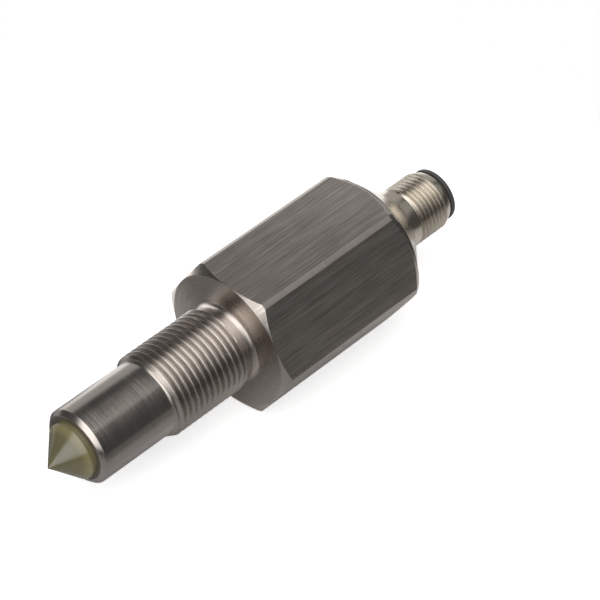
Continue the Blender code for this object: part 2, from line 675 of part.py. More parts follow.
def make_contact_pins():
    """Round pins with a rounded tip in front and a solder cup behind."""
    tip = arc(PIN_TIP - PIN_RADIUS, 0.0, PIN_RADIUS, 0.0, 90.0, 3)
    tip[0] = (PIN_TIP, 0.0)
    cup_radius = SOLDER_CUP_DIAMETER / 2
    cup_floor = SOLDER_CUP_REAR + SOLDER_CUP_DEPTH
    profile = [
        *tip,
        (SOLDER_CUP_FRONT, PIN_RADIUS),
        (SOLDER_CUP_FRONT, cup_radius),
        (SOLDER_CUP_REAR, cup_radius),
        (SOLDER_CUP_REAR, SOLDER_CUP_BORE / 2),
        (cup_floor, SOLDER_CUP_BORE / 2),
        (cup_floor, 0.0),
    ]
    for number, angle in enumerate(PIN_ANGLES, start=1):
        y = PIN_CIRCLE / 2 * math.cos(angle)
        z = PIN_CIRCLE / 2 * math.sin(angle)
        add_object(f"contact_pin_{number}", turned(profile, SMALL_FACETS), GOLD, 0.0, y, z)


def make_wires():
    """Short insulated wires whose bare ends sit in the solder cups."""
    for number, angle in enumerate(PIN_ANGLES, start=1):
        y = PIN_CIRCLE / 2 * math.cos(angle)
        z = PIN_CIRCLE / 2 * math.sin(angle)
        board_y = math.copysign(WIRE_SPREAD, y)
        board_z = math.copysign(BOARD_THICKNESS / 2 + FINE_GAP + WIRE_DIAMETER / 2, z)
        strand_end = SOLDER_CUP_REAR + SOLDER_CUP_DEPTH - SEAT_GAP
        cover_end = SOLDER_CUP_REAR - SEAT_GAP
        bend_start = cover_end - WIRE_DIAMETER
        bend_end = BOARD_REAR
        route = [(strand_end, y, z, STRAND_DIAMETER), (cover_end + FINE_GAP / 2, y, z, STRAND_DIAMETER),
                 (cover_end, y, z, WIRE_DIAMETER)]
        steps = 6
        for step in range(steps + 1):
            share = step / steps
            eased = share * share * (3.0 - 2.0 * share)
            route.append((bend_start + (bend_end - bend_start) * share, y + (board_y - y) * eased,
                          z + (board_z - z) * eased, WIRE_DIAMETER))
        route.append((BOARD_REAR - WIRE_LAP, board_y, board_z, WIRE_DIAMETER))
        curve = bpy.data.curves.new(f"wire_{number}", "CURVE")
        curve.dimensions = "3D"
        curve.bevel_depth = WIRE_DIAMETER / 2
        curve.bevel_resolution = 2
        curve.use_fill_caps = True
        spline = curve.splines.new("POLY")
        spline.points.add(len(route) - 1)
        for point, (x, across, up, diameter) in zip(spline.points, route):
            point.co = (x, across, up, 1.0)
            point.radius = diameter / WIRE_DIAMETER
        curve.materials.append(WIRES[number - 1])
        wire = bpy.data.objects.new(f"wire_{number}", curve)
        bpy.context.scene.collection.objects.link(wire)
        wire.parent = AXIS


for leftover in list(bpy.data.objects):
    bpy.data.objects.remove(leftover)

AXIS = bpy.data.objects.new("sensor_axis", None)
AXIS.location = (-CENTRE, 0.0, HEX_FLAT_RADIUS)
bpy.context.scene.collection.objects.link(AXIS)

STEEL = material("stainless_steel", (0.50, 0.47, 0.44), 0.32, metallic=1.0)
NICKEL = material("nickel_plate", (0.72, 0.68, 0.61), 0.24, metallic=1.0)
PRISM_RESIN = material("prism_resin", (0.42, 0.40, 0.22), 0.12, transmission=0.4)
ADHESIVE = material("adhesive", (0.05, 0.045, 0.04), 0.45)
BLACK_PLASTIC = material("black_plastic", (0.06, 0.058, 0.055), 0.55)
RUBBER = material("seal_rubber", (0.03, 0.03, 0.03), 0.70)
SLEEVE = material("sleeve_plastic", (0.75, 0.72, 0.64), 0.50)
BOARD = material("board_laminate", (0.03, 0.16, 0.07), 0.45)
CHIP = material("chip_body", (0.04, 0.04, 0.045), 0.50)
CERAMIC = material("ceramic", (0.55, 0.42, 0.27), 0.40)
TANTALUM = material("tantalum_case", (0.70, 0.50, 0.10), 0.45)
CLEAR_LENS = material("emitter_lens", (0.55, 0.60, 0.70), 0.10, transmission=0.8)
DARK_LENS = material("receiver_lens", (0.05, 0.03, 0.06), 0.12, transmission=0.3)
TIN = material("tinned_lead", (0.70, 0.70, 0.70), 0.30, metallic=1.0)
GOLD = material("gold_plate", (0.83, 0.62, 0.27), 0.22, metallic=1.0)
WIRES = [
    material("brown_insulation", (0.18, 0.08, 0.03), 0.50),
    material("white_insulation", (0.80, 0.80, 0.78), 0.50),
    material("blue_insulation", (0.04, 0.12, 0.45), 0.50),
    material("black_insulation", (0.03, 0.03, 0.03), 0.50),
]

make_housing()
make_prism()
make_prism_bond()
make_seals()
make_optics_holder()
make_optical_part("emitter", 1, CLEAR_LENS, ("emitter_lead_1", "emitter_lead_2"))
make_optical_part("receiver", -1, DARK_LENS, ("receiver_lead_1", "receiver_lead_2"))
make_circuit_board()
make_board_parts()
make_board_sleeve()
make_plug_shell()
make_contact_carrier()
make_contact_pins()
make_wires()
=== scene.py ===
"""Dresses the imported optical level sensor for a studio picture.

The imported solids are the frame. Each operator builds one piece, or a group of like pieces:
a finer mesh with its finish takes the place of the plain solid, and most of the sealed pieces
inside keep their solids and get a finish. X runs from the prism to the plug and Z is up. All
lengths are in metres. The sensor's axis lies along X at AXIS_HEIGHT.
"""
import json
import math

import bmesh
import bpy
import numpy as np
from bpy.props import FloatProperty, FloatVectorProperty, PointerProperty
from mathutils import Matrix, Vector


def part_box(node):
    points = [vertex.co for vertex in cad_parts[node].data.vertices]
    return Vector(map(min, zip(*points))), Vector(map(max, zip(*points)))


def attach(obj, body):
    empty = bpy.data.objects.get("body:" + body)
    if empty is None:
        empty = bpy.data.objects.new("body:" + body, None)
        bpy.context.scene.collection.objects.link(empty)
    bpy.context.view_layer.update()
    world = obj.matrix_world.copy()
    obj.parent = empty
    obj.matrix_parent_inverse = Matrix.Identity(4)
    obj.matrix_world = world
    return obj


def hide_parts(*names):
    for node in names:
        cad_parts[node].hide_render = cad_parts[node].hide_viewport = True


bl_info = {
    "name": "Optical level sensor",
    "version": (1, 0, 0),
    "blender": (4, 5, 0),
    "location": "View3D > Sidebar > Sensor",
    "description": "Builds the finely meshed and finished pieces of a screw-in optical level sensor",
    "category": "Object",
}

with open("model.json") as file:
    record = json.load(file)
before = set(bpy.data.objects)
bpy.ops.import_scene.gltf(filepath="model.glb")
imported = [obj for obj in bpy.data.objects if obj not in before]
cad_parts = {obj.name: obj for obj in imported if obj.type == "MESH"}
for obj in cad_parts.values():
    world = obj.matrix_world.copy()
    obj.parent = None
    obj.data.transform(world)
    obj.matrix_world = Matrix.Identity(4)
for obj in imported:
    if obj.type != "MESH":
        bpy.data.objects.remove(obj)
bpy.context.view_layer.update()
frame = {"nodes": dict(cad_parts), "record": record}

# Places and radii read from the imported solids
HOUSING_LOW, HOUSING_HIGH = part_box("housing")
PRISM_LOW, PRISM_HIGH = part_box("prism")
BOND_LOW, BOND_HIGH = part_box("prism_bond")
SHELL_LOW, SHELL_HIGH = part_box("plug_shell")
CARRIER_LOW, CARRIER_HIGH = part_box("contact_carrier")
PIN_LOW, PIN_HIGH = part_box("contact_pin_1")
AXIS_HEIGHT = (HOUSING_LOW.z + HOUSING_HIGH.z) / 2
FLAT_RADIUS = (HOUSING_HIGH.z - HOUSING_LOW.z) / 2
CORNER_RADIUS = (HOUSING_HIGH.y - HOUSING_LOW.y) / 2
FLANGE_RADIUS = (SHELL_HIGH.y - SHELL_LOW.y) / 2
PRISM_RADIUS = (PRISM_HIGH.y - PRISM_LOW.y) / 2
TUBE_FACE = HOUSING_LOW.x
HEX_REAR = HOUSING_HIGH.x
LIP_END = CARRIER_HIGH.x
MOUNTS = {mount["name"]: mount for mount in frame["record"]["mounts"]}
SEALING_FACE = MOUNTS["seating_face"]["pos_m"][0]

# Columns of points around each kind of piece, and along one flat of the hexagon
FLAT_COLUMNS = 26
PLUG_COLUMNS = 192
PRISM_COLUMNS = 128
SMALL_COLUMNS = 32

# Angles, and how close two angles or two points count as the same
SIXTH_TURN = math.pi / 3
SHARP_ANGLE = math.radians(27.0)
ANGLE_TOLERANCE = 1e-6
MERGE_DISTANCE = 1e-7

# Roundings, bevels and gaps that several pieces share
SMALL_EDGE = 0.00005
FINE_EDGE = 0.00004
SEAT_GAP = 0.0002
BORE_BEVEL = 0.0003

# How far the edge of a corner strip is eased inwards, as a share of its rounding
STRIP_EDGE_DROP = 0.12

# Rows along one pitch of a thread, as shares of it, from one root over the crest to the next
HALF_PITCH_ROWS = (0.0, 0.045, 0.09, 0.14, 0.19, 0.24, 0.29, 0.34, 0.385, 0.42, 0.46)
THREAD_ROWS = HALF_PITCH_ROWS + (0.5,) + tuple(1.0 - share for share in HALF_PITCH_ROWS[:0:-1])

# Depth of the thread's groove against the distance from the crest, both as shares
GROOVE_STEPS = (0.0, 0.12, 0.18, 0.85, 0.93, 1.0)
GROOVE_DEPTHS = (0.0, 0.0, 0.06, 0.91, 0.98, 1.0)


def length(name, description, default):
    """A property that holds one length."""
    return FloatProperty(name=name, description=description, default=default, unit="LENGTH", precision=5)


def amount(name, description, default):
    """A property that holds one plain number."""
    return FloatProperty(name=name, description=description, default=default)


def angle(name, description, degrees):
    """A property that holds one angle."""
    default = math.radians(degrees)
    return FloatProperty(
        name=name, description=description, default=default, subtype="ANGLE", unit="ROTATION"
    )


def colour(name, description, default):
    """A property that holds one colour."""
    return FloatVectorProperty(
        name=name, description=description, default=default, subtype="COLOR", size=3, min=0.0, max=1.0
    )


class HousingSizes(bpy.types.PropertyGroup):
    """Sizes of the stainless housing."""

    thread_diameter: length("Thread diameter", "Process thread over its crests", 0.01666)
    thread_pitch: length("Thread pitch", "Advance of the process thread in one turn", 0.001337)
    thread_depth: length("Thread depth", "From the crests of the process thread to its roots", 0.00086)
    thread_reach: length("Thread reach", "From the start of the thread to the sealing face", 0.0202)
    relief_length: length("Relief length", "From the end of the thread to the sealing face", 0.00245)
    relief_radius: length("Relief radius", "Radius of the relief behind the process thread", 0.00720)
    root_fillet: length("Root fillet", "Radius between the relief and the sealing face", 0.00115)
    tube_radius: length("Tube radius", "Outside radius of the sensing tube", 0.007374)
    mouth_chamfer: length("Mouth chamfer", "Chamfer around the tube's mouth", 0.00078)
    mouth_wall: length("Mouth wall", "Wall of the tube around the prism", 0.00123)
    mouth_depth: length("Mouth depth", "Depth of the ledge behind the adhesive", 0.00115)
    pocket_radius: length("Pocket radius", "Bore that holds the prism", 0.005894)
    shank_bore: length("Shank bore", "Bore that holds the optical parts", 0.004994)
    cavity_radius: length("Cavity radius", "Bore of the hexagon", 0.0100)
    cavity_floor: length("Cavity floor", "From the sealing face to the bore of the hexagon", 0.0050)
    face_rim: length("Face rim", "Radius at which the flat face meets the front chamfer", 0.01348)
    front_chamfer: angle("Front chamfer", "Slope of the front chamfer against the face", 30.0)
    rear_rim: length("Rear rim", "Radius at which the rear chamfer meets the rear face", 0.0129)
    rear_break: length("Rear break", "How far the rear chamfer stands out of a straight slope", 0.00035)
    edge_round: length("Edge round", "Rounding of the turned and milled edges", 0.00006)


class PrismSizes(bpy.types.PropertyGroup):
    """Sizes of the prism and its adhesive."""

    side_height: length("Side height", "Straight side that stands out of the tube", 0.00090)
    edge_round: length("Edge round", "Rounding between the cone and the side", 0.00030)
    tip_round: length("Tip round", "Rounding of the tip", 0.00012)
    groove_setback: length("Groove setback", "From the tube's face to the seal's groove", 0.0032)
    groove_width: length("Groove width", "Width of the seal's groove", 0.0018)
    groove_depth: length("Groove depth", "Depth of the seal's groove", 0.0011)


class PlugSizes(bpy.types.PropertyGroup):
    """Sizes of the nickel-plated plug shell."""

    thread_diameter: length("Thread diameter", "Plug thread over its crests", 0.0119)
    thread_pitch: length("Thread pitch", "Advance of the plug thread in one turn", 0.0010)
    thread_depth: length("Thread depth", "From the crests of the plug thread to its roots", 0.00061)
    joint_line: length("Joint line", "Gap that shows between the housing and the flange", 0.00004)
    flange_rim: length("Flange rim", "Straight rim before the flank starts", 0.00031)
    collar_radius: length("Collar radius", "Ridge at the foot of the flank", 0.0063)
    collar_bevel: length("Collar bevel", "Drop from the ridge to the neck", 0.00018)
    neck_length: length("Neck length", "Plain neck between the ridge and the thread", 0.00210)
    chamfer_length: length("Chamfer length", "Length of the cone that ends the thread", 0.00195)
    chamfer_depth: length("Chamfer depth", "Drop of the cone that ends the thread", 0.00079)
    bore: length("Bore", "Radius of the bore that holds the carrier", 0.00484)
    spigot_radius: length("Spigot radius", "Spigot that sits in the hexagon", 0.0098)
    spigot_bore: length("Spigot bore", "Bore of the spigot", 0.0071)
    groove_setback: length("Groove setback", "From the spigot's front to the seal's groove", 0.0022)
    groove_width: length("Groove width", "Width of the seal's groove", 0.0018)
    groove_depth: length("Groove depth", "Depth of the seal's groove", 0.0012)
    web_setback: length("Web setback", "From the hexagon's rear to the web around the bore", 0.0018)


class ContactSizes(bpy.types.PropertyGroup):
    """Sizes of the black carrier and its four contacts."""

    lip_thickness: length("Lip thickness", "Thickness of the lip in front of the shell", 0.0008)
    lip_radius: length("Lip radius", "Outside radius of the lip", 0.00535)
    lip_round: length("Lip round", "Rounding of the lip", 0.00016)
    body_radius: length("Body radius", "Radius of the carrier in the shell", 0.00464)
    cup_radius: length("Cup radius", "Inside radius of the cup", 0.00424)
    cup_depth: length("Cup depth", "Depth of the cup", 0.0090)
    bead_height: length("Bead height", "Height of the snap bead", 0.00036)
    bead_length: length("Bead length", "Length of the snap bead", 0.00075)
    bead_setback: length("Bead setback", "From the hexagon's rear to the end of the bead", 0.0016)
    groove_setback: length("Groove setback", "From the carrier's rear to the seal's groove", 0.0031)
    groove_width: length("Groove width", "Width of the seal's groove", 0.0018)
    groove_depth: length("Groove depth", "Depth of the seal's groove", 0.0011)
    key_width: length("Key width", "Width of the key rib", 0.0012)
    key_height: length("Key height", "Height of the key rib", 0.00055)
    pin_diameter: length("Pin diameter", "Diameter of each contact", 0.0010)
    pin_circle: length("Pin circle", "Diameter of the circle of contacts", 0.0050)
    pin_clearance: length("Pin clearance", "Gap around each contact in the carrier", 0.00015)
    solder_cup: length("Solder cup", "Radius of the solder cup behind each contact", 0.0008)
    solder_cup_length: length("Solder cup length", "Length of the solder cup", 0.0032)
    solder_cup_depth: length("Solder cup depth", "Depth of the solder cup", 0.0020)


class FinishColours(bpy.types.PropertyGroup):
    """Colours of the sensor's finishes."""

    steel: colour("Steel", "Stainless steel", (0.52, 0.470, 0.430))
    # Painted shade: the same stainless steel, darkened inside the bores.
    bore_steel_painted_shade: colour("Bore steel", "Stainless steel inside the bores", (0.30, 0.285, 0.270))
    nickel: colour("Nickel", "Nickel plating", (0.585, 0.530, 0.455))
    resin: colour("Resin", "Body of the prism", (0.200, 0.176, 0.092))
    # Painted glow: a paler tint painted onto the prism's base edge, where light gathers.
    resin_painted_glow: colour("Resin edge", "Base edge of the prism, where light gathers", (0.33, 0.285, 0.135))
    adhesive: colour("Adhesive", "Ring of adhesive around the prism", (0.085, 0.075, 0.060))
    rubber: colour("Rubber", "Sealing rings", (0.025, 0.025, 0.027))
    plastic: colour("Plastic", "Black moulded plastic", (0.075, 0.072, 0.069))
    sleeve: colour("Sleeve", "Insulating sleeve", (0.70, 0.67, 0.58))
    solder_mask: colour("Solder mask", "Circuit board", (0.02, 0.14, 0.06))
    trace: colour("Trace", "Copper under the solder mask", (0.05, 0.24, 0.09))
    epoxy: colour("Epoxy", "Chip bodies", (0.035, 0.035, 0.040))
    ceramic: colour("Ceramic", "Ceramic capacitors", (0.52, 0.39, 0.25))
    tantalum: colour("Tantalum", "Tantalum capacitor", (0.68, 0.47, 0.08))
    clear_lens: colour("Clear lens", "Lens of the emitter", (0.62, 0.66, 0.72))
    dark_lens: colour("Dark lens", "Lens of the receiver", (0.045, 0.030, 0.055))
    tin: colour("Tin", "Tinned leads", (0.66, 0.66, 0.65))
    gold: colour("Gold", "Plated contacts", (0.80, 0.58, 0.25))
    brown: colour("Brown", "First wire", (0.17, 0.075, 0.03))
    white: colour("White", "Second wire", (0.76, 0.76, 0.73))
    blue: colour("Blue", "Third wire", (0.035, 0.11, 0.42))
    black: colour("Black", "Fourth wire", (0.028, 0.028, 0.030))


class StageSettings(bpy.types.PropertyGroup):
    """The board under the sensor, the lamps around it and the camera."""

    board_colour: colour("Board colour", "Pale board under the sensor", (0.86, 0.86, 0.86))
    board_reach: length("Board reach", "From the middle of the board to each side", 0.100)
    board_glow: amount("Board glow", "White that the board has for the camera alone", 0.62)
    room: amount("Room", "Light from the unlit room", 0.07)
    far_floor: amount("Far floor", "Light from the floor beyond the board", 0.90)
    far_floor_heading: angle("Far floor heading", "Direction of that floor, from +X towards +Y", 60.0)
    card: amount("Card", "Brightness of the white card behind the sensor", 0.42)
    small_card: amount("Small card", "Brightness of the card beside the plug", 1.1)
    key: amount("Key", "Brightness of the soft box over the prism", 2.0)
    fill: amount("Fill", "Brightness of the wide box above the plug", 0.30)
    camera_place: FloatVectorProperty(
        name="Camera place", description="Where the camera stands", subtype="TRANSLATION", unit="LENGTH",
        default=(-0.256266, -0.242197, 0.372025), size=3, precision=6,
    )
    camera_turn: FloatVectorProperty(
        name="Camera turn", description="How the camera is turned", subtype="EULER", unit="ROTATION",
        default=tuple(math.radians(value) for value in (45.0222, -1.8694, -46.1473)), size=3, precision=6,
    )
    focal_length: amount("Focal length", "Lens, in millimetres", 168.30)


class Signal:
    """The output of a node, on which plain arithmetic adds Math nodes."""

    def __init__(self, finish, socket):
        self.finish = finish
        self.socket = socket

    def math(self, operation, first, second):
        return self.finish.node("ShaderNodeMath", {"operation": operation}, {0: first, 1: second})

    def __add__(self, other):
        return self.math("ADD", self, other)

    def __radd__(self, other):
        return self.math("ADD", other, self)

    def __sub__(self, other):
        return self.math("SUBTRACT", self, other)

    def __rsub__(self, other):
        return self.math("SUBTRACT", other, self)

    def __mul__(self, other):
        return self.math("MULTIPLY", self, other)

    def __rmul__(self, other):
        return self.math("MULTIPLY", other, self)

    def __truediv__(self, other):
        return self.math("DIVIDE", self, other)

    def __pow__(self, other):
        return self.math("POWER", self, other)

    def larger(self, other):
        return self.math("MAXIMUM", self, other)


class Finish:
    """A material or world made of nodes, with the sensor's own coordinates."""

    def __init__(self, owner):
        owner.use_nodes = True
        self.owner = owner
        self.tree = owner.node_tree
        self.tree.nodes.clear()

    def node(self, kind, settings=None, values=None, output=0):
        """Adds a node: its settings first, then the values or links of its sockets."""
        made = self.tree.nodes.new(kind)
        for name, value in (settings or {}).items():
            setattr(made, name, value)
        for name, value in (values or {}).items():
            if isinstance(value, Signal):
                self.tree.links.new(value.socket, made.inputs[name])
            else:
                made.inputs[name].default_value = value
        return Signal(self, made.outputs[output]) if len(made.outputs) else None

    def split(self, vector):
        """The three parts of a vector."""
        first = self.node("ShaderNodeSeparateXYZ", values={"Vector": vector})
        return [Signal(self, part) for part in first.socket.node.outputs]

    def join(self, x, y, z):
        return self.node("ShaderNodeCombineXYZ", values={"X": x, "Y": y, "Z": z})

    def ray(self, kind):
        """One where a ray of that kind arrives, and zero elsewhere."""
        return self.node("ShaderNodeLightPath", output=f"Is {kind} Ray")

    def place(self):
        """Position along the sensor and on both sides of its axis."""
        x, y, z = self.split(self.node("ShaderNodeTexCoord", output="Object"))
        return x, y, z - AXIS_HEIGHT

    def noise(self, vector, scale=1.0, detail=2.0, roughness=0.5):
        values = {"Vector": vector, "Scale": scale, "Detail": detail, "Roughness": roughness}
        return self.node("ShaderNodeTexNoise", values=values)

    def ease(self, value, start, end, low=0.0, high=1.0):
        """A smooth step from low to high while the value goes from start to end."""
        values = {"Value": value, "From Min": start, "From Max": end, "To Min": low, "To Max": high}
        return self.node("ShaderNodeMapRange", {"interpolation_type": "SMOOTHSTEP"}, values)

    def mix(self, share, first, second):
        """Blends two colours."""
        values = {0: share, 6: first, 7: second}
        return self.node("ShaderNodeMix", {"data_type": "RGBA"}, values, output=2)

    def shade(self, tint, brightness):
        """A colour made lighter or darker."""
        return self.node("ShaderNodeVectorMath", {"operation": "SCALE"}, {0: tint, "Scale": brightness})

    def bump(self, height, depth):
        """A normal that follows fine relief of that depth."""
        return self.node("ShaderNodeBump", values={"Strength": 1.0, "Distance": depth, "Height": height})

    def surface(self, **sockets):
        """Ends a material in a Principled shader."""
        values = {name.replace("_", " "): value for name, value in sockets.items()}
        shader = self.node("ShaderNodeBsdfPrincipled", values=values)
        self.node("ShaderNodeOutputMaterial", values={"Surface": shader})
        return self.owner


def new_finish(name):
    return Finish(bpy.data.materials.new(name))


def opaque(tint):
    """A colour with its fourth part."""
    return (*tint, 1.0)


def metal(
    name, tint, roughness, fine=0.00010, broad=0.00040, depth=0.000010, contrast=0.20, along=False
):
    """Worked metal: streaks along the sensor on flats, or rings around it on turned faces.

    fine and broad are the widths of the tool's marks, in metres, and depth is their depth.
    """
    finish = new_finish(name)
    x, y, up = finish.place()
    if along:
        fine_run, broad_run = x * 150.0, x * 60.0
        lay = finish.join(fine_run, y / fine, up / fine)
        wide_lay = finish.join(broad_run, y / broad, up / broad)
    else:
        radius = (y * y + up * up) ** 0.5
        fine_run, broad_run = (y + up) * 60.0, (y + up) * 25.0
        lay = finish.join(x / fine, radius / fine, fine_run)
        wide_lay = finish.join(x / broad, radius / broad, broad_run)
    marks = finish.noise(lay, detail=3.0, roughness=0.6)
    wide_marks = finish.noise(wide_lay)
    smudge = finish.noise(finish.join(x, y, up), scale=180.0, detail=3.0)
    streaks = (wide_marks - 0.5) * contrast + (marks - 0.5) * contrast
    brightness = 1.0 + streaks + (smudge - 0.5) * 0.10
    return finish.surface(
        Base_Color=finish.shade(tuple(tint), brightness),
        Metallic=1.0,
        Roughness=roughness + (smudge - 0.5) * 0.10 + (wide_marks - 0.5) * 0.12,
        Normal=finish.bump(marks + wide_marks * 0.6, depth),
    )


def moulded(name, tint, roughness, grain=0.00012, depth=0.000004, **sockets):
    """Moulded plastic or rubber with a fine grain and a faint unevenness."""
    finish = new_finish(name)
    place = finish.join(*finish.place())
    fine = finish.noise(place, scale=1.0 / grain)
    cloud = finish.noise(place, scale=260.0, detail=3.0)
    return finish.surface(
        Base_Color=finish.shade(tuple(tint), 0.90 + cloud * 0.20),
        Roughness=roughness + (cloud - 0.5) * 0.14 + (fine - 0.5) * 0.10,
        Normal=finish.bump(fine + cloud * 0.5, depth),
        **sockets,
    )


def resin(tint, painted_glow_tint, cone_base):
    """The prism's cloudy olive resin, paler at its base edge by a painted glow where light gathers, and
    brighter on its side by painted light.
    """
    finish = new_finish("olive_resin")
    x, y, up = finish.place()
    radius = (y * y + up * up) ** 0.5
    cloud = finish.noise(finish.join(x, y, up), scale=420.0, detail=3.0)
    # Painted glow: the resin is tinted paler towards the rim of its base edge.
    rim_start, rim_end = PRISM_RADIUS * 0.72, PRISM_RADIUS * 0.98
    rim = finish.ease(radius, rim_start, rim_end)
    # Painted light: past the cone's base, the prism's side is tinted brighter than its cone.
    side = finish.ease(x, cone_base - 0.0001, cone_base + 0.0003)
    painted_side_light_tint = [part * 1.25 for part in tint]
    tone = finish.mix(rim, opaque(tint), opaque(painted_glow_tint))
    tone = finish.mix(side * 0.7, tone, opaque(painted_side_light_tint))
    return finish.surface(
        Base_Color=finish.shade(tone, 0.92 + cloud * 0.16),
        Roughness=0.10 + cloud * 0.10,
        IOR=1.60,
        Transmission_Weight=0.35,
        Coat_Weight=0.5,
        Coat_Roughness=0.12,
        Normal=finish.bump(cloud, 0.00001),
    )


def laminate(mask_tint, trace_tint):
    """Circuit board: green solder mask over raised copper."""
    finish = new_finish("board_laminate")
    x, y, up = finish.place()
    cells = {"feature": "DISTANCE_TO_EDGE", "voronoi_dimensions": "2D"}
    plan = {"Vector": finish.join(x, y, 0.0), "Scale": 420.0}
    spread = finish.node("ShaderNodeTexVoronoi", cells, plan)
    trace = 1.0 - finish.ease(spread, 0.05, 0.09)
    weave = finish.noise(finish.join(x, y, up), scale=9000.0)
    return finish.surface(
        Base_Color=finish.mix(trace, opaque(mask_tint), opaque(trace_tint)),
        Roughness=0.34 + weave * 0.12,
        Normal=finish.bump(trace * 0.8 + weave * 0.3, 0.00001),
    )


def softened(points, edge):
    """Rounds each corner of an (x, r, finish) outline that turns by more than 15 degrees."""
    least_turn = math.radians(15.0)
    turn_per_step = math.radians(24.0)
    softer = [points[0]]
    for before, here, after in zip(points, points[1:], points[2:]):
        inward = Vector((before[0] - here[0], before[1] - here[1]))
        onward = Vector((after[0] - here[0], after[1] - here[1]))
        turn = math.pi - inward.angle(onward)
        if turn < least_turn:
            softer.append(here)
            continue
        corner = Vector(here[:2])
        start = corner + inward.normalized() * min(edge, 0.4 * inward.length)
        end = corner + onward.normalized() * min(edge, 0.4 * onward.length)
        steps = max(2, round(turn / turn_per_step))
        softer.append((*start, here[2]))
        for step in range(1, steps + 1):
            share = step / steps
            point = start * (1 - share) ** 2 + corner * 2 * share * (1 - share) + end * share ** 2
            softer.append((*point, after[2]))
    return softer + [points[-1]]


def arc(centre_x, centre_r, radius, start, end, steps, finish=0):
    """Points of an arc, with angles in degrees from +x towards +r."""
    angles = [math.radians(start + (end - start) * step / steps) for step in range(steps + 1)]
    return [(centre_x + radius * math.cos(a), centre_r + radius * math.sin(a), finish) for a in angles]


def seal_groove(sizes, face, radius, finish=0):
    """The groove of a sealing ring in a round surface, at its setback from a face."""
    start = face + sizes.groove_setback
    end = start + sizes.groove_width
    floor = radius - sizes.groove_depth
    corners = ((start, radius), (start, floor), (end, floor), (end, radius))
    return [(*corner, finish) for corner in corners]


class Turning:
    """Rows of points around an axis along X, from which one closed skin is made."""

    def __init__(self, columns, y=0.0, z=AXIS_HEIGHT):
        self.columns = np.asarray(columns, float)
        self.axis = (y, z)
        self.rows = []
        self.finishes = []
        self.partners = []

    def row(self, x, radius, finish, partner=None):
        """One row, whose station, radius and finish may differ from column to column."""
        count = len(self.columns)
        self.partners.append(len(self.rows) if partner is None else partner)
        self.rows.append([np.broadcast_to(x, count), np.broadcast_to(radius, count)])
        self.finishes.append(np.broadcast_to(finish, count))

    def outline(self, points, edge=0.0):
        """Rows of an (x, r, finish) outline. A finish covers the band that ends at its point."""
        for x, radius, finish in softened(points, edge) if edge > 0.0 else points:
            self.row(x, radius, finish)

    def thread(self, start, end, pitch, radius_at, finish):
        """A right-hand thread that fills the stretch from start to end.

        radius_at takes the stations of a row, its distance from the crest as a share of half
        a pitch, and how many turns its groove has run.
        """
        first = len(self.rows)
        lead = len(THREAD_ROWS)
        last = lead * (math.ceil((end - start) / pitch) + 2)
        turned_by = self.columns / math.tau
        for index in range(last + 1):
            share = THREAD_ROWS[index % lead]
            along = index // lead - 1 + share + turned_by
            x = np.clip(start + pitch * along, start, end)
            groove = index // lead - 1 + (share >= 0.5) + turned_by
            radius = radius_at(x, abs(share - 0.5) * 2, groove)
            self.row(x, radius, finish, partner=first + min(index + lead, last))

    def build(self, name, materials, closed=True):
        """Skins the rows and returns the finished object."""
        rows = np.array(self.rows)
        count = len(self.columns)
        stations, radii = rows[:, 0, :], rows[:, 1, :]
        points = np.stack([
            stations,
            self.axis[0] + radii * np.cos(self.columns),
            self.axis[1] + radii * np.sin(self.columns),
        ], axis=-1).reshape(-1, 3)
        bands = len(rows) if closed else len(rows) - 1
        near = np.arange(bands)
        far = (near + 1) % len(rows)
        partners = np.array(self.partners)
        column = np.arange(count)
        beside = (column + 1) % count
        seam = (beside == 0)[None, :]
        near_beside = np.where(seam, partners[near][:, None], near[:, None])
        far_beside = np.where(seam, partners[far][:, None], far[:, None])
        faces = np.stack([
            near[:, None] * count + column,
            near_beside * count + beside,
            far_beside * count + beside,
            far[:, None] * count + column,
        ], axis=-1).reshape(-1, 4)
        mesh = bpy.data.meshes.new(name)
        mesh.from_pydata(points.tolist(), [], faces.tolist())
        slots = np.array(self.finishes)[far].reshape(-1)
        mesh.polygons.foreach_set("material_index", slots.astype(np.int32))
        builder = bmesh.new()
        builder.from_mesh(mesh)
        bmesh.ops.remove_doubles(builder, verts=builder.verts, dist=MERGE_DISTANCE)
        bmesh.ops.recalc_face_normals(builder, faces=builder.faces)
        builder.to_mesh(mesh)
        builder.free()
        return add_piece(name, mesh, materials)


def new_object(name, data):
    """An object in the scene, made from a mesh, a lamp or a camera."""
    made = bpy.data.objects.new(name, data)
    bpy.context.scene.collection.objects.link(made)
    return made


def add_piece(name, mesh, materials):
    """A smoothly shaded object with its materials."""
    for material in materials:
        mesh.materials.append(material)
    mesh.shade_smooth()
    mesh.set_sharp_from_angle(angle=SHARP_ANGLE)
    piece = new_object(name, mesh)
    weighted = piece.modifiers.new("Weighted normals", "WEIGHTED_NORMAL")
    weighted.keep_sharp = True
    return piece


def seat(piece, slot, *nodes):
    """Lets a piece ride with the sensor in place of its solids."""
    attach(piece, "root")
    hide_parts(*nodes)


def dress(material, *names):
    """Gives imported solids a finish."""
    for name in names:
        for slot in frame["nodes"][name].material_slots:
            slot.material = material


def carve(piece, mesh, operation):
    """Cuts a piece with a mesh, or joins the two, and keeps only the result."""
    tool = new_object("carving_tool", mesh)
    modifier = piece.modifiers.new("Carving", "BOOLEAN")
    modifier.operation = operation
    modifier.solver = "EXACT"
    modifier.object = tool
    evaluated = piece.evaluated_get(bpy.context.evaluated_depsgraph_get())
    carved = bpy.data.meshes.new_from_object(evaluated)
    piece.modifiers.remove(modifier)
    bpy.data.objects.remove(tool)
    piece.data = carved


def even_columns(count):
    return np.arange(count) * math.tau / count


def groove_share(distance):
    """How deep the groove is at a distance from the crest, both as shares."""
    return np.interp(distance, GROOVE_STEPS, GROOVE_DEPTHS)


def corner_strip():
    """Half the angle that the turned strip on each corner of the hexagon takes up."""
    return SIXTH_TURN / 2 - math.acos(FLAT_RADIUS / CORNER_RADIUS)


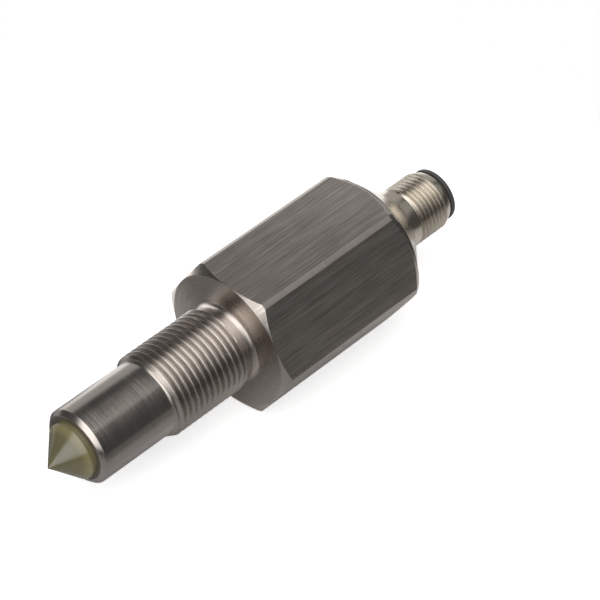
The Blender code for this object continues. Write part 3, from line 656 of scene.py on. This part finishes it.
def turn_from_corner(angles):
    """How far round the angles are from the hexagon's nearest corners."""
    return np.abs((angles + SIXTH_TURN / 2) % SIXTH_TURN - SIXTH_TURN / 2)


def housing_columns(edge):
    """Angles around the housing: close together at the corners, even along the flats."""
    strip = corner_strip()
    step = edge / CORNER_RADIUS
    near = [0.0, strip / 2, strip - step, strip, strip + step]
    flat_start = strip + 3 * step
    flat = list(np.linspace(flat_start, SIXTH_TURN - flat_start, FLAT_COLUMNS))
    sector = near + flat + [SIXTH_TURN - value for value in near[:0:-1]]
    return np.array([side * SIXTH_TURN + value for side in range(6) for value in sector])


def hexagon_radius(columns, edge):
    """Radius of the hexagon with turned corners, and whether each column starts a strip."""
    strip = corner_strip()
    from_corner = turn_from_corner(columns)
    radius = np.minimum(CORNER_RADIUS, FLAT_RADIUS / np.cos(SIXTH_TURN / 2 - from_corner))
    on_edge = np.abs(from_corner - strip) < ANGLE_TOLERANCE
    radius = radius - on_edge * edge * STRIP_EDGE_DROP
    following = np.append(columns[1:], columns[0] + math.tau)
    return radius, turn_from_corner((columns + following) / 2) < strip


class SENSOR_OT_housing(bpy.types.Operator):
    """Build the stainless housing: tube, process thread, hexagon and bores"""

    bl_idname = "sensor.housing"
    bl_label = "Housing"

    # Order of the housing's materials
    BORE, FACED, TURNED, THREAD, BRUSHED, STRIP, CHAMFER = range(7)

    def nose(self, sizes):
        """Bore, mouth and tube, up to the start of the thread."""
        mouth_radius = sizes.tube_radius - sizes.mouth_wall
        pocket_floor = PRISM_HIGH.x + SEAT_GAP
        ledge = TUBE_FACE + sizes.mouth_depth
        return [
            (pocket_floor, sizes.shank_bore, self.BORE),
            (pocket_floor, sizes.pocket_radius, self.BORE),
            (ledge, sizes.pocket_radius, self.BORE),
            (ledge, mouth_radius, self.BORE),
            (TUBE_FACE, mouth_radius, self.BORE),
            (TUBE_FACE, sizes.tube_radius - sizes.mouth_chamfer, self.FACED),
            (TUBE_FACE + sizes.mouth_chamfer, sizes.tube_radius, self.TURNED),
            (SEALING_FACE - sizes.thread_reach, sizes.tube_radius, self.TURNED),
        ]

    def thread(self, turning, sizes):
        """Process thread, cut by its lead-in chamfer and by the relief behind it."""
        start = SEALING_FACE - sizes.thread_reach
        end = SEALING_FACE - sizes.relief_length
        crest = sizes.thread_diameter / 2
        relief_slope = 1.6

        def radius_at(x, distance, groove):
            thread = crest - sizes.thread_depth * groove_share(distance)
            lead_in = sizes.tube_radius + x - start
            run_out = sizes.relief_radius + (end - x) * relief_slope
            return np.minimum(thread, np.minimum(lead_in, run_out))

        turning.thread(start, end, sizes.thread_pitch, radius_at, self.THREAD)

    def root(self, sizes):
        """Relief, fillet and sealing face."""
        radius = sizes.root_fillet
        centre_r = sizes.relief_radius + radius
        fillet = arc(SEALING_FACE - radius, centre_r, radius, -90.0, 0.0, 14, self.THREAD)
        return fillet + [(SEALING_FACE, sizes.face_rim - 4 * sizes.edge_round, self.FACED)]

    def hexagon(self, turning, sizes):
        """Front chamfer, flats with turned corner strips, and rear chamfer."""
        edge = sizes.edge_round
        radius, on_strip = hexagon_radius(turning.columns, edge)
        rise = math.tan(sizes.front_chamfer)
        front = SEALING_FACE + (radius - sizes.face_rim) * rise
        rear = HEX_REAR - (radius - sizes.rear_rim)
        front_cut = np.minimum(edge, 0.4 * (radius - sizes.face_rim))
        rear_cut = np.minimum(edge, 0.4 * (radius - sizes.rear_rim))
        side = np.where(on_strip, self.STRIP, self.BRUSHED)
        turning.row(SEALING_FACE, sizes.face_rim, self.FACED)
        turning.row(front - front_cut * rise, radius - front_cut, self.CHAMFER)
        turning.row(front, radius - 0.25 * front_cut, self.THREAD)
        turning.row(front + edge, radius, self.THREAD)
        turning.row(front + 4 * edge, radius, side)
        turning.row(rear - 4 * edge, radius, side)
        turning.row(rear - edge, radius, side)
        turning.row(rear - 0.25 * edge, radius - 0.25 * rear_cut, self.THREAD)
        turning.row(rear + rear_cut, radius - rear_cut, self.THREAD)
        halfway = (radius - sizes.rear_rim) / 2
        bulge = np.minimum(sizes.rear_break, halfway / 2)
        break_station = HEX_REAR - halfway + bulge * 0.6
        turning.row(break_station, sizes.rear_rim + halfway + bulge, self.CHAMFER)
        turning.row(HEX_REAR - edge, sizes.rear_rim + edge, self.CHAMFER)

    def back(self, sizes):
        """Rear face and bores, back to the nose."""
        rim_round = 0.3 * sizes.edge_round
        floor = SEALING_FACE + sizes.cavity_floor
        return [
            (HEX_REAR - rim_round, sizes.rear_rim + rim_round, self.TURNED),
            (HEX_REAR, sizes.rear_rim - sizes.edge_round, self.FACED),
            (HEX_REAR, sizes.cavity_radius + BORE_BEVEL, self.FACED),
            (HEX_REAR - BORE_BEVEL, sizes.cavity_radius, self.BORE),
            (floor, sizes.cavity_radius, self.BORE),
            (floor, sizes.shank_bore, self.BORE),
        ]

    def execute(self, context):
        sizes = context.scene.sensor_housing
        colours = context.scene.sensor_colours
        turning = Turning(housing_columns(sizes.edge_round))
        turning.outline(self.nose(sizes), sizes.edge_round)
        self.thread(turning, sizes)
        turning.outline(self.root(sizes))
        self.hexagon(turning, sizes)
        turning.outline(self.back(sizes), sizes.edge_round)
        steel = colours.steel
        piece = turning.build("steel_housing", [
            # Painted shade: the bores get a darker copy of the steel colour.
            metal("steel_bored", colours.bore_steel_painted_shade, 0.38, broad=0.00050),
            metal("steel_faced", steel, 0.25, depth=0.000030, contrast=0.14),
            metal("steel_turned", steel, 0.22, broad=0.00030, depth=0.000008, contrast=0.16),
            metal("steel_threaded", steel, 0.24, fine=0.00008, depth=0.000025, contrast=0.10),
            metal(
                "steel_brushed", steel, 0.36,
                fine=0.00011, broad=0.00026, depth=0.000008, contrast=1.10, along=True,
            ),
            metal("steel_strip", steel, 0.30, fine=0.00016, broad=0.00080, depth=0.000006, contrast=0.14),
            metal("steel_chamfered", steel, 0.22, fine=0.0002, broad=0.002, depth=1e-6, contrast=0.06),
        ])
        seat(piece, "stainless_steel", "housing")
        return {"FINISHED"}


class SENSOR_OT_prism(bpy.types.Operator):
    """Build the conical prism and the ring of adhesive around it"""

    bl_idname = "sensor.prism"
    bl_label = "Prism"

    def execute(self, context):
        sizes = context.scene.sensor_prism
        colours = context.scene.sensor_colours
        side_start = TUBE_FACE - sizes.side_height
        tip = arc(PRISM_LOW.x + sizes.tip_round, 0.0, sizes.tip_round, 180.0, 125.0, 6)
        tip[0] = (PRISM_LOW.x, 0.0, 0)
        cone_base = side_start - sizes.edge_round
        edge = arc(side_start, PRISM_RADIUS - sizes.edge_round, sizes.edge_round, 135.0, 90.0, 6)
        turning = Turning(even_columns(PRISM_COLUMNS))
        turning.outline(tip + edge)
        turning.outline([
            (side_start + 0.0001, PRISM_RADIUS, 0),
            *seal_groove(sizes, TUBE_FACE, PRISM_RADIUS),
            (PRISM_HIGH.x, PRISM_RADIUS, 0),
            (PRISM_HIGH.x, 0.0, 0),
        ], SMALL_EDGE)
        # The resin carries a painted glow on its base edge and painted light on its side.
        olive = resin(colours.resin, colours.resin_painted_glow, cone_base)
        piece = turning.build("sight_prism", [olive], closed=False)
        seat(piece, "prism_resin", "prism")

        inside = PRISM_RADIUS + 0.00003
        outside = (BOND_HIGH.y - BOND_LOW.y) / 2
        middle = (inside + outside) / 2
        wetted = outside + 0.0001
        hollow = 0.00004
        ring = Turning(even_columns(PRISM_COLUMNS))
        ring.outline([
            (BOND_HIGH.x, inside, 0),
            (BOND_LOW.x, inside, 0),
            (BOND_LOW.x + hollow, middle, 0),
            (BOND_LOW.x, wetted, 0),
            (BOND_HIGH.x, wetted, 0),
        ])
        bond = ring.build("adhesive_ring", [moulded("cured_adhesive", colours.adhesive, 0.42)])
        seat(bond, "adhesive", "prism_bond")
        return {"FINISHED"}


class SENSOR_OT_plug_shell(bpy.types.Operator):
    """Build the nickel-plated shell: spigot, flank, ridge, neck and plug thread"""

    bl_idname = "sensor.plug_shell"
    bl_label = "Plug shell"

    BORE, TURNED, THREAD = range(3)

    def execute(self, context):
        sizes = context.scene.sensor_plug
        colours = context.scene.sensor_colours
        crest = sizes.thread_diameter / 2
        flange_back = HEX_REAR + sizes.joint_line
        flank_start = flange_back + sizes.flange_rim
        collar = flank_start + FLANGE_RADIUS - sizes.collar_radius
        neck_start = collar + sizes.collar_bevel
        thread_start = neck_start + sizes.neck_length
        chamfer_start = SHELL_HIGH.x - sizes.chamfer_length
        front_radius = crest - sizes.chamfer_depth
        spigot = sizes.spigot_radius
        web = HEX_REAR + sizes.web_setback
        turns = (chamfer_start - thread_start) / sizes.thread_pitch
        turning = Turning(even_columns(PLUG_COLUMNS))
        turning.outline([
            (web, sizes.bore, self.BORE),
            (web, sizes.spigot_bore, self.BORE),
            (SHELL_LOW.x, sizes.spigot_bore, self.BORE),
            (SHELL_LOW.x, spigot - BORE_BEVEL, self.TURNED),
            (SHELL_LOW.x + BORE_BEVEL, spigot, self.TURNED),
            *seal_groove(sizes, SHELL_LOW.x, spigot, self.TURNED),
            (flange_back, spigot, self.TURNED),
            (flange_back, FLANGE_RADIUS, self.TURNED),
            (flank_start, FLANGE_RADIUS, self.TURNED),
            (collar, sizes.collar_radius, self.TURNED),
            (neck_start, crest, self.TURNED),
            (thread_start, crest, self.TURNED),
        ], SMALL_EDGE)

        # Turns in which the groove has not begun, deepens and fades
        plain_turns, deepening_turns, fading_turns = 0.1, 0.35, 0.6

        def radius_at(x, distance, groove):
            run_in = np.clip((groove - plain_turns) / deepening_turns, 0.0, 1.0)
            run_out = np.clip((turns - groove) / fading_turns, 0.0, 1.0)
            return crest - sizes.thread_depth * groove_share(distance) * run_in * run_out

        turning.thread(thread_start, chamfer_start, sizes.thread_pitch, radius_at, self.THREAD)
        turning.outline([
            (chamfer_start + 0.00003, crest, self.THREAD),
            (SHELL_HIGH.x, front_radius, self.TURNED),
            (SHELL_HIGH.x, sizes.bore, self.TURNED),
        ], FINE_EDGE)
        nickel = colours.nickel
        piece = turning.build("nickel_plug_shell", [
            metal("nickel_bored", nickel, 0.40, broad=0.00050),
            metal("nickel_turned", nickel, 0.24, broad=0.00060, depth=0.000002, contrast=0.08),
            metal("nickel_threaded", nickel, 0.24, fine=0.00008, depth=0.000025, contrast=0.10),
        ])
        seat(piece, "nickel_plate", "plug_shell")
        return {"FINISHED"}


def pin_centres(sizes):
    """Places of the four contacts around the axis, in the order of their nodes."""
    angles = [math.radians(45.0 + 90.0 * quarter) for quarter in range(4)]
    reach = sizes.pin_circle / 2
    return [(reach * math.cos(turn), AXIS_HEIGHT + reach * math.sin(turn)) for turn in angles]


class SENSOR_OT_contact_carrier(bpy.types.Operator):
    """Build the black carrier: lip, cup with key rib, and insert with holes for the contacts"""

    bl_idname = "sensor.contact_carrier"
    bl_label = "Contact carrier"

    def profile(self, sizes):
        """Insert, snap bead, lip and cup, from the rear to the cup's floor."""
        body = sizes.body_radius
        lip_start = LIP_END - sizes.lip_thickness
        cup_floor = LIP_END - sizes.cup_depth
        bead_end = HEX_REAR + sizes.bead_setback
        bead_start = bead_end - sizes.bead_length
        bead_top = body + sizes.bead_height
        lip = sizes.lip_radius
        bevel = sizes.lip_round
        lip_outside = arc(LIP_END - bevel, lip - bevel, bevel, 90.0, 0.0, 4)
        lip_inside = arc(LIP_END - bevel, sizes.cup_radius + bevel, bevel, 0.0, -90.0, 4)
        return [
            (CARRIER_LOW.x, 0.0, 0),
            (CARRIER_LOW.x, body - sizes.bead_height, 0),
            (bead_start, body, 0),
            (bead_start + sizes.bead_length / 2, bead_top, 0),
            (bead_end, bead_top, 0),
            (bead_end, body, 0),
            *seal_groove(sizes, CARRIER_LOW.x, body),
            (lip_start, body, 0),
            (lip_start, lip, 0),
            *lip_outside,
            *lip_inside,
            (cup_floor, sizes.cup_radius, 0),
            (cup_floor, 0.0, 0),
        ]

    def execute(self, context):
        sizes = context.scene.sensor_contacts
        colours = context.scene.sensor_colours
        turning = Turning(even_columns(PLUG_COLUMNS // 2))
        turning.outline(self.profile(sizes), FINE_EDGE)
        plastic = moulded("black_moulding", colours.plastic, 0.50)
        piece = turning.build("plug_carrier", [plastic], closed=False)
        cup_floor = LIP_END - sizes.cup_depth
        hole_radius = sizes.pin_diameter / 2 + sizes.pin_clearance
        overrun = 0.001
        hole_start = CARRIER_LOW.x - overrun
        hole_end = cup_floor + overrun
        for y, z in pin_centres(sizes):
            hole = Turning(even_columns(SMALL_COLUMNS), y, z)
            hole.outline([
                (hole_start, 0.0, 0),
                (hole_start, hole_radius, 0),
                (hole_end, hole_radius, 0),
                (hole_end, 0.0, 0),
            ])
            tool = hole.build("pin_hole", [plastic], closed=False)
            carve(piece, tool.data, "DIFFERENCE")
            bpy.data.objects.remove(tool)
        sink = SEAT_GAP
        rib_length = sizes.cup_depth - sizes.pin_diameter + sink
        rib_height = sizes.key_height + sink
        rib = bmesh.new()
        size = Matrix.Diagonal((rib_length, sizes.key_width, rib_height, 1.0))
        place = Matrix.Translation((
            cup_floor - sink + rib_length / 2, 0.0,
            AXIS_HEIGHT + sizes.cup_radius - sizes.key_height + rib_height / 2,
        ))
        bmesh.ops.create_cube(rib, size=1.0, matrix=place @ size)
        bmesh.ops.bevel(rib, geom=rib.edges[:], offset=0.0001, segments=2, affect="EDGES")
        rib_mesh = bpy.data.meshes.new("key_rib")
        rib.to_mesh(rib_mesh)
        rib.free()
        carve(piece, rib_mesh, "UNION")
        seat(piece, "black_plastic", "contact_carrier")
        return {"FINISHED"}


class SENSOR_OT_contact_pins(bpy.types.Operator):
    """Build the four gold-plated contacts, round at the tip and hollow at the back"""

    bl_idname = "sensor.contact_pins"
    bl_label = "Contacts"

    def execute(self, context):
        sizes = context.scene.sensor_contacts
        gold_tint = context.scene.sensor_colours.gold
        gold = metal("gold_plated", gold_tint, 0.20, fine=0.00006, depth=1e-6)
        pin = sizes.pin_diameter / 2
        cup_front = PIN_LOW.x + sizes.solder_cup_length
        cup_floor = PIN_LOW.x + sizes.solder_cup_depth
        for number, (y, z) in enumerate(pin_centres(sizes), start=1):
            turning = Turning(even_columns(SMALL_COLUMNS), y, z)
            turning.outline(arc(PIN_HIGH.x - pin, 0.0, pin, 0.0, 90.0, 8))
            turning.outline([
                (PIN_HIGH.x - pin - 0.0001, pin, 0),
                (cup_front, pin, 0),
                (cup_front, sizes.solder_cup, 0),
                (PIN_LOW.x, sizes.solder_cup, 0),
                (PIN_LOW.x, pin, 0),
                (cup_floor, pin, 0),
                (cup_floor, 0.0, 0),
            ], FINE_EDGE)
            piece = turning.build(f"plug_contact_{number}", [gold], closed=False)
            seat(piece, "gold_plate", f"contact_pin_{number}")
        return {"FINISHED"}


class SENSOR_OT_seals(bpy.types.Operator):
    """Build the three rubber sealing rings"""

    bl_idname = "sensor.seals"
    bl_label = "Seals"

    def execute(self, context):
        rubber = moulded("seal_rubber", context.scene.sensor_colours.rubber, 0.62)
        for node in ("prism_o_ring", "plug_shell_o_ring", "carrier_o_ring"):
            low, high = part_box(node)
            section = (high.x - low.x) / 2
            ring_radius = (high.y - low.y) / 2 - section
            turning = Turning(even_columns(PRISM_COLUMNS))
            turning.outline(arc((low.x + high.x) / 2, ring_radius, section, 0.0, 345.0, 23))
            piece = turning.build(f"{node.removesuffix('_o_ring')}_seal", [rubber])
            seat(piece, "seal_rubber", node)
        return {"FINISHED"}


class SENSOR_OT_optics(bpy.types.Operator):
    """Build the emitter and the receiver, and finish their leads and holder"""

    bl_idname = "sensor.optics"
    bl_label = "Optical parts"

    def execute(self, context):
        colours = context.scene.sensor_colours
        flange_step = 0.0003
        flange_thickness = 0.0009
        lenses = (("emitter", colours.clear_lens, 0.8), ("receiver", colours.dark_lens, 0.3))
        for name, tint, clearness in lenses:
            low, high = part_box(name)
            flange = (high.z - low.z) / 2
            lens = flange - flange_step
            flange_front = high.x - flange_thickness
            turning = Turning(even_columns(SMALL_COLUMNS), (low.y + high.y) / 2)
            turning.outline(arc(low.x + lens, 0.0, lens, 180.0, 90.0, 10))
            turning.outline([
                (low.x + lens + 0.0001, lens, 0),
                (flange_front, lens, 0),
                (flange_front, flange, 0),
                (high.x, flange, 0),
                (high.x, 0.0, 0),
            ], SMALL_EDGE)
            material = moulded(f"{name}_epoxy", tint, 0.10, Transmission_Weight=clearness)
            piece = turning.build(f"{name}_body", [material], closed=False)
            seat(piece, f"{name}_lens", name)
        dress(moulded("holder_moulding", colours.plastic, 0.55), "optics_holder")
        tin = metal("tinned_copper", colours.tin, 0.28, fine=8e-5, broad=3e-4, depth=1e-6, along=True)
        dress(tin, "emitter_lead_1", "emitter_lead_2", "receiver_lead_1", "receiver_lead_2")
        return {"FINISHED"}


class SENSOR_OT_electronics(bpy.types.Operator):
    """Finish the circuit board, the parts on it, the sleeve around it and its wires"""

    bl_idname = "sensor.electronics"
    bl_label = "Electronics"

    def execute(self, context):
        colours = context.scene.sensor_colours
        dress(laminate(colours.solder_mask, colours.trace), "circuit_board")
        epoxy = moulded("chip_epoxy", colours.epoxy, 0.48)
        dress(epoxy, "amplifier", "controller", "regulator", "output_transistor", "protection_diode")
        resistors = [f"resistor_{number}" for number in range(1, 5)]
        dress(moulded("resistor_glaze", colours.epoxy, 0.30), *resistors)
        dress(moulded("capacitor_ceramic", colours.ceramic, 0.36), "capacitor_1", "capacitor_2")
        dress(moulded("tantalum_moulding", colours.tantalum, 0.44), "capacitor_3")
        sleeve = moulded("natural_sleeve", colours.sleeve, 0.46, Subsurface_Weight=0.1)
        dress(sleeve, "board_sleeve")
        for number, name in enumerate(("brown", "white", "blue", "black"), start=1):
            insulation = moulded(f"{name}_insulation", getattr(colours, name), 0.40, grain=0.0003)
            dress(insulation, f"wire_{number}")
        return {"FINISHED"}


class SENSOR_OT_stage(bpy.types.Operator):
    """Lay the board, hang the lamps and stand the camera"""

    bl_idname = "sensor.stage"
    bl_label = "Stage"

    def board(self, settings):
        """A pale board under the sensor, squared to it."""
        builder = bmesh.new()
        width = 2 * settings.board_reach
        size = Matrix.Diagonal((width, width, 1.0, 1.0))
        bmesh.ops.create_grid(builder, x_segments=1, y_segments=1, size=0.5, matrix=size)
        mesh = bpy.data.meshes.new("pale_board")
        builder.to_mesh(mesh)
        builder.free()
        mesh.materials.append(self.board_finish(settings))
        board = new_object("pale_board", mesh)
        board.location.z = -0.00002

    def painted_board_shade(self, finish, x, y, behind_plug):
        """How much painted shade darkens the board, below its paper, where the metal and the glass see
        it.

        It is darkest before the sensor and past the plug, and palest under the hexagon and
        behind the plug. Each zone fades in or out between two places along the board or across.
        """
        # Zones of painted shade, and paler painted patches, on the board as metal and glass see it.
        leaning = x + y * 0.3
        behind_hexagon = finish.ease(leaning, -0.008, 0.0) * finish.ease(y, 0.020, 0.030)
        near_side = finish.ease(y, 0.003, 0.010)
        far_side = finish.ease(y, 0.036, 0.046, 1.0, 0.0)
        behind_prism = near_side * far_side * finish.ease(leaning, -0.012, -0.004, 1.0, 0.0)
        toward_plug = finish.ease(x, -0.010, 0.060)
        before_sensor = finish.ease(y, -0.048, -0.024, 1.0, 0.0)
        under_sensor = finish.ease(y, -0.019, -0.008)
        under_hexagon = under_sensor * finish.ease(x, -0.036, -0.012, 0.10, 0.42)
        past_plug = finish.ease(x, 0.074, 0.084) * finish.ease(y, -0.010, 0.002, 1.0, 0.0)
        darker = 0.72 + 0.28 * before_sensor + 0.65 * past_plug
        paler = 0.45 * toward_plug + 0.35 * behind_plug + under_hexagon
        slope = (darker - paler) * (1.0 - behind_hexagon)
        return slope.larger(behind_prism)

    def board_finish(self, settings):
        """White to the camera but for the shadow. Metal and glass see painted shade on it in places, and
        a painted glow behind the plug."""
        finish = new_finish("pale_board")
        x, y, up = finish.place()
        behind_plug = finish.ease(x, 0.035, 0.060) * finish.ease(y, 0.000, 0.010)
        mirrored = finish.ray("Glossy").larger(finish.ray("Transmission"))
        # Painted shade: metal and glass see a darker, unlit copy of the board in the dimmed zones.
        painted_shade = mirrored * self.painted_board_shade(finish, x, y, behind_plug)
        # Painted glow: metal and glass see the board glow behind the plug, though it is no lamp.
        painted_plug_glow = mirrored * behind_plug * 0.4
        glow = finish.ray("Camera") * settings.board_glow + painted_plug_glow
        paper = finish.node("ShaderNodeBsdfDiffuse", values={"Color": opaque(settings.board_colour)})
        lift = finish.node("ShaderNodeEmission", values={"Color": finish.join(glow, glow, glow)})
        lit = finish.node("ShaderNodeAddShader", values={0: paper, 1: lift})
        # Painted shade: the dark unlit paper that the mirrored rays see in the dimmed zones.
        unlit = finish.node("ShaderNodeBsdfDiffuse", values={"Color": (0.18, 0.18, 0.18, 1.0)})
        both = finish.node("ShaderNodeMixShader", values={0: painted_shade, 1: lit, 2: unlit})
        finish.node("ShaderNodeOutputMaterial", values={"Surface": both})
        return finish.owner

    def world(self, settings):
        """A dim room with one wide soft box in it, from over the prism to the zenith, and a white
        floor far behind the plug. The camera sees it white."""
        world = bpy.data.worlds.new("studio")
        bpy.context.scene.world = world
        finish = Finish(world)
        x, y, z = finish.split(finish.node("ShaderNodeTexCoord", output="Generated"))
        level = (x * x + y * y) ** 0.5 + 0.001
        heading = settings.far_floor_heading
        facing = (x * math.cos(heading) + y * math.sin(heading)) / level
        floor = finish.ease(z, -0.10, 0.0, 1.0, 0.0) * finish.ease(facing, 0.60, 0.80)
        plug_edge = finish.ease(x, 0.22, 0.40, 1.0, 0.0)
        far_edge = finish.ease(y - z * 0.15, 0.06, 0.44, 1.0, 0.0)
        near_edge = finish.ease(y, -1.0, -0.20)
        low_edge = finish.ease(z, -0.06, 0.10)
        soft_box = plug_edge * far_edge * near_edge * low_edge
        room = settings.room + floor * (settings.far_floor - settings.room)
        light = room + soft_box * settings.key
        camera = finish.ray("Camera")
        strength = light * (1.0 - camera) + camera
        white = (1.0, 1.0, 1.0, 1.0)
        back = finish.node("ShaderNodeBackground", values={"Color": white, "Strength": strength})
        finish.node("ShaderNodeOutputWorld", values={"Surface": back})

    def lamp(self, name, place, aim, width, height, brightness):
        """An area lamp of a given brightness at a place, looking towards another."""
        light = bpy.data.lights.new(name, "AREA")
        light.shape = "RECTANGLE"
        light.size = width
        light.size_y = height
        light.energy = brightness * math.pi * width * height
        lamp = new_object(name, light)
        lamp.location = place
        lamp.rotation_euler = (Vector(aim) - Vector(place)).to_track_quat("-Z", "Y").to_euler()
        lamp.visible_camera = False

    def camera(self, settings):
        """The camera, at the photo's angle."""
        data = bpy.data.cameras.new("photo_camera")
        data.lens = settings.focal_length
        data.sensor_width = 36.0
        data.clip_start = 0.01
        camera = new_object("photo_camera", data)
        camera.location = settings.camera_place
        camera.rotation_euler = settings.camera_turn
        bpy.context.scene.camera = camera

    def execute(self, context):
        settings = context.scene.sensor_stage
        context.scene.view_settings.view_transform = "Standard"
        self.board(settings)
        self.world(settings)
        self.lamp(
            "fill_box", place=(1.17, -0.31, 0.90), aim=(0.0, 0.0, AXIS_HEIGHT),
            width=0.95, height=1.35, brightness=settings.fill,
        )
        self.lamp(
            "small_card", place=(-0.007, 0.052, 0.022), aim=(0.088, 0.021, AXIS_HEIGHT),
            width=0.05, height=0.045, brightness=settings.small_card,
        )
        self.lamp(
            "backdrop_card", place=(0.0365, 0.0860, 0.042), aim=(-0.0378, 0.0191, 0.042),
            width=0.20, height=0.084, brightness=settings.card,
        )
        self.camera(settings)
        return {"FINISHED"}


class SENSOR_PT_pieces(bpy.types.Panel):
    """Lists the sensor's pieces in the sidebar"""

    bl_idname = "SENSOR_PT_pieces"
    bl_label = "Level sensor"
    bl_space_type = "VIEW_3D"
    bl_region_type = "UI"
    bl_category = "Sensor"

    def draw(self, context):
        for operator in PIECES:
            self.layout.operator(operator.bl_idname)


SETTINGS = {
    "sensor_housing": HousingSizes,
    "sensor_prism": PrismSizes,
    "sensor_plug": PlugSizes,
    "sensor_contacts": ContactSizes,
    "sensor_colours": FinishColours,
    "sensor_stage": StageSettings,
}
PIECES = (
    SENSOR_OT_housing,
    SENSOR_OT_prism,
    SENSOR_OT_plug_shell,
    SENSOR_OT_contact_carrier,
    SENSOR_OT_contact_pins,
    SENSOR_OT_seals,
    SENSOR_OT_optics,
    SENSOR_OT_electronics,
    SENSOR_OT_stage,
)


def register():
    for group in SETTINGS.values():
        bpy.utils.register_class(group)
    for name, group in SETTINGS.items():
        setattr(bpy.types.Scene, name, PointerProperty(type=group))
    for operator in PIECES:
        bpy.utils.register_class(operator)
    bpy.utils.register_class(SENSOR_PT_pieces)


def unregister():
    bpy.utils.unregister_class(SENSOR_PT_pieces)
    for operator in reversed(PIECES):
        bpy.utils.unregister_class(operator)
    for name, group in SETTINGS.items():
        delattr(bpy.types.Scene, name)
        bpy.utils.unregister_class(group)


def main():
    register()
    bpy.ops.sensor.housing()
    bpy.ops.sensor.prism()
    bpy.ops.sensor.plug_shell()
    bpy.ops.sensor.contact_carrier()
    bpy.ops.sensor.contact_pins()
    bpy.ops.sensor.seals()
    bpy.ops.sensor.optics()
    bpy.ops.sensor.electronics()
    bpy.ops.sensor.stage()


if __name__ == "__main__":
    main()
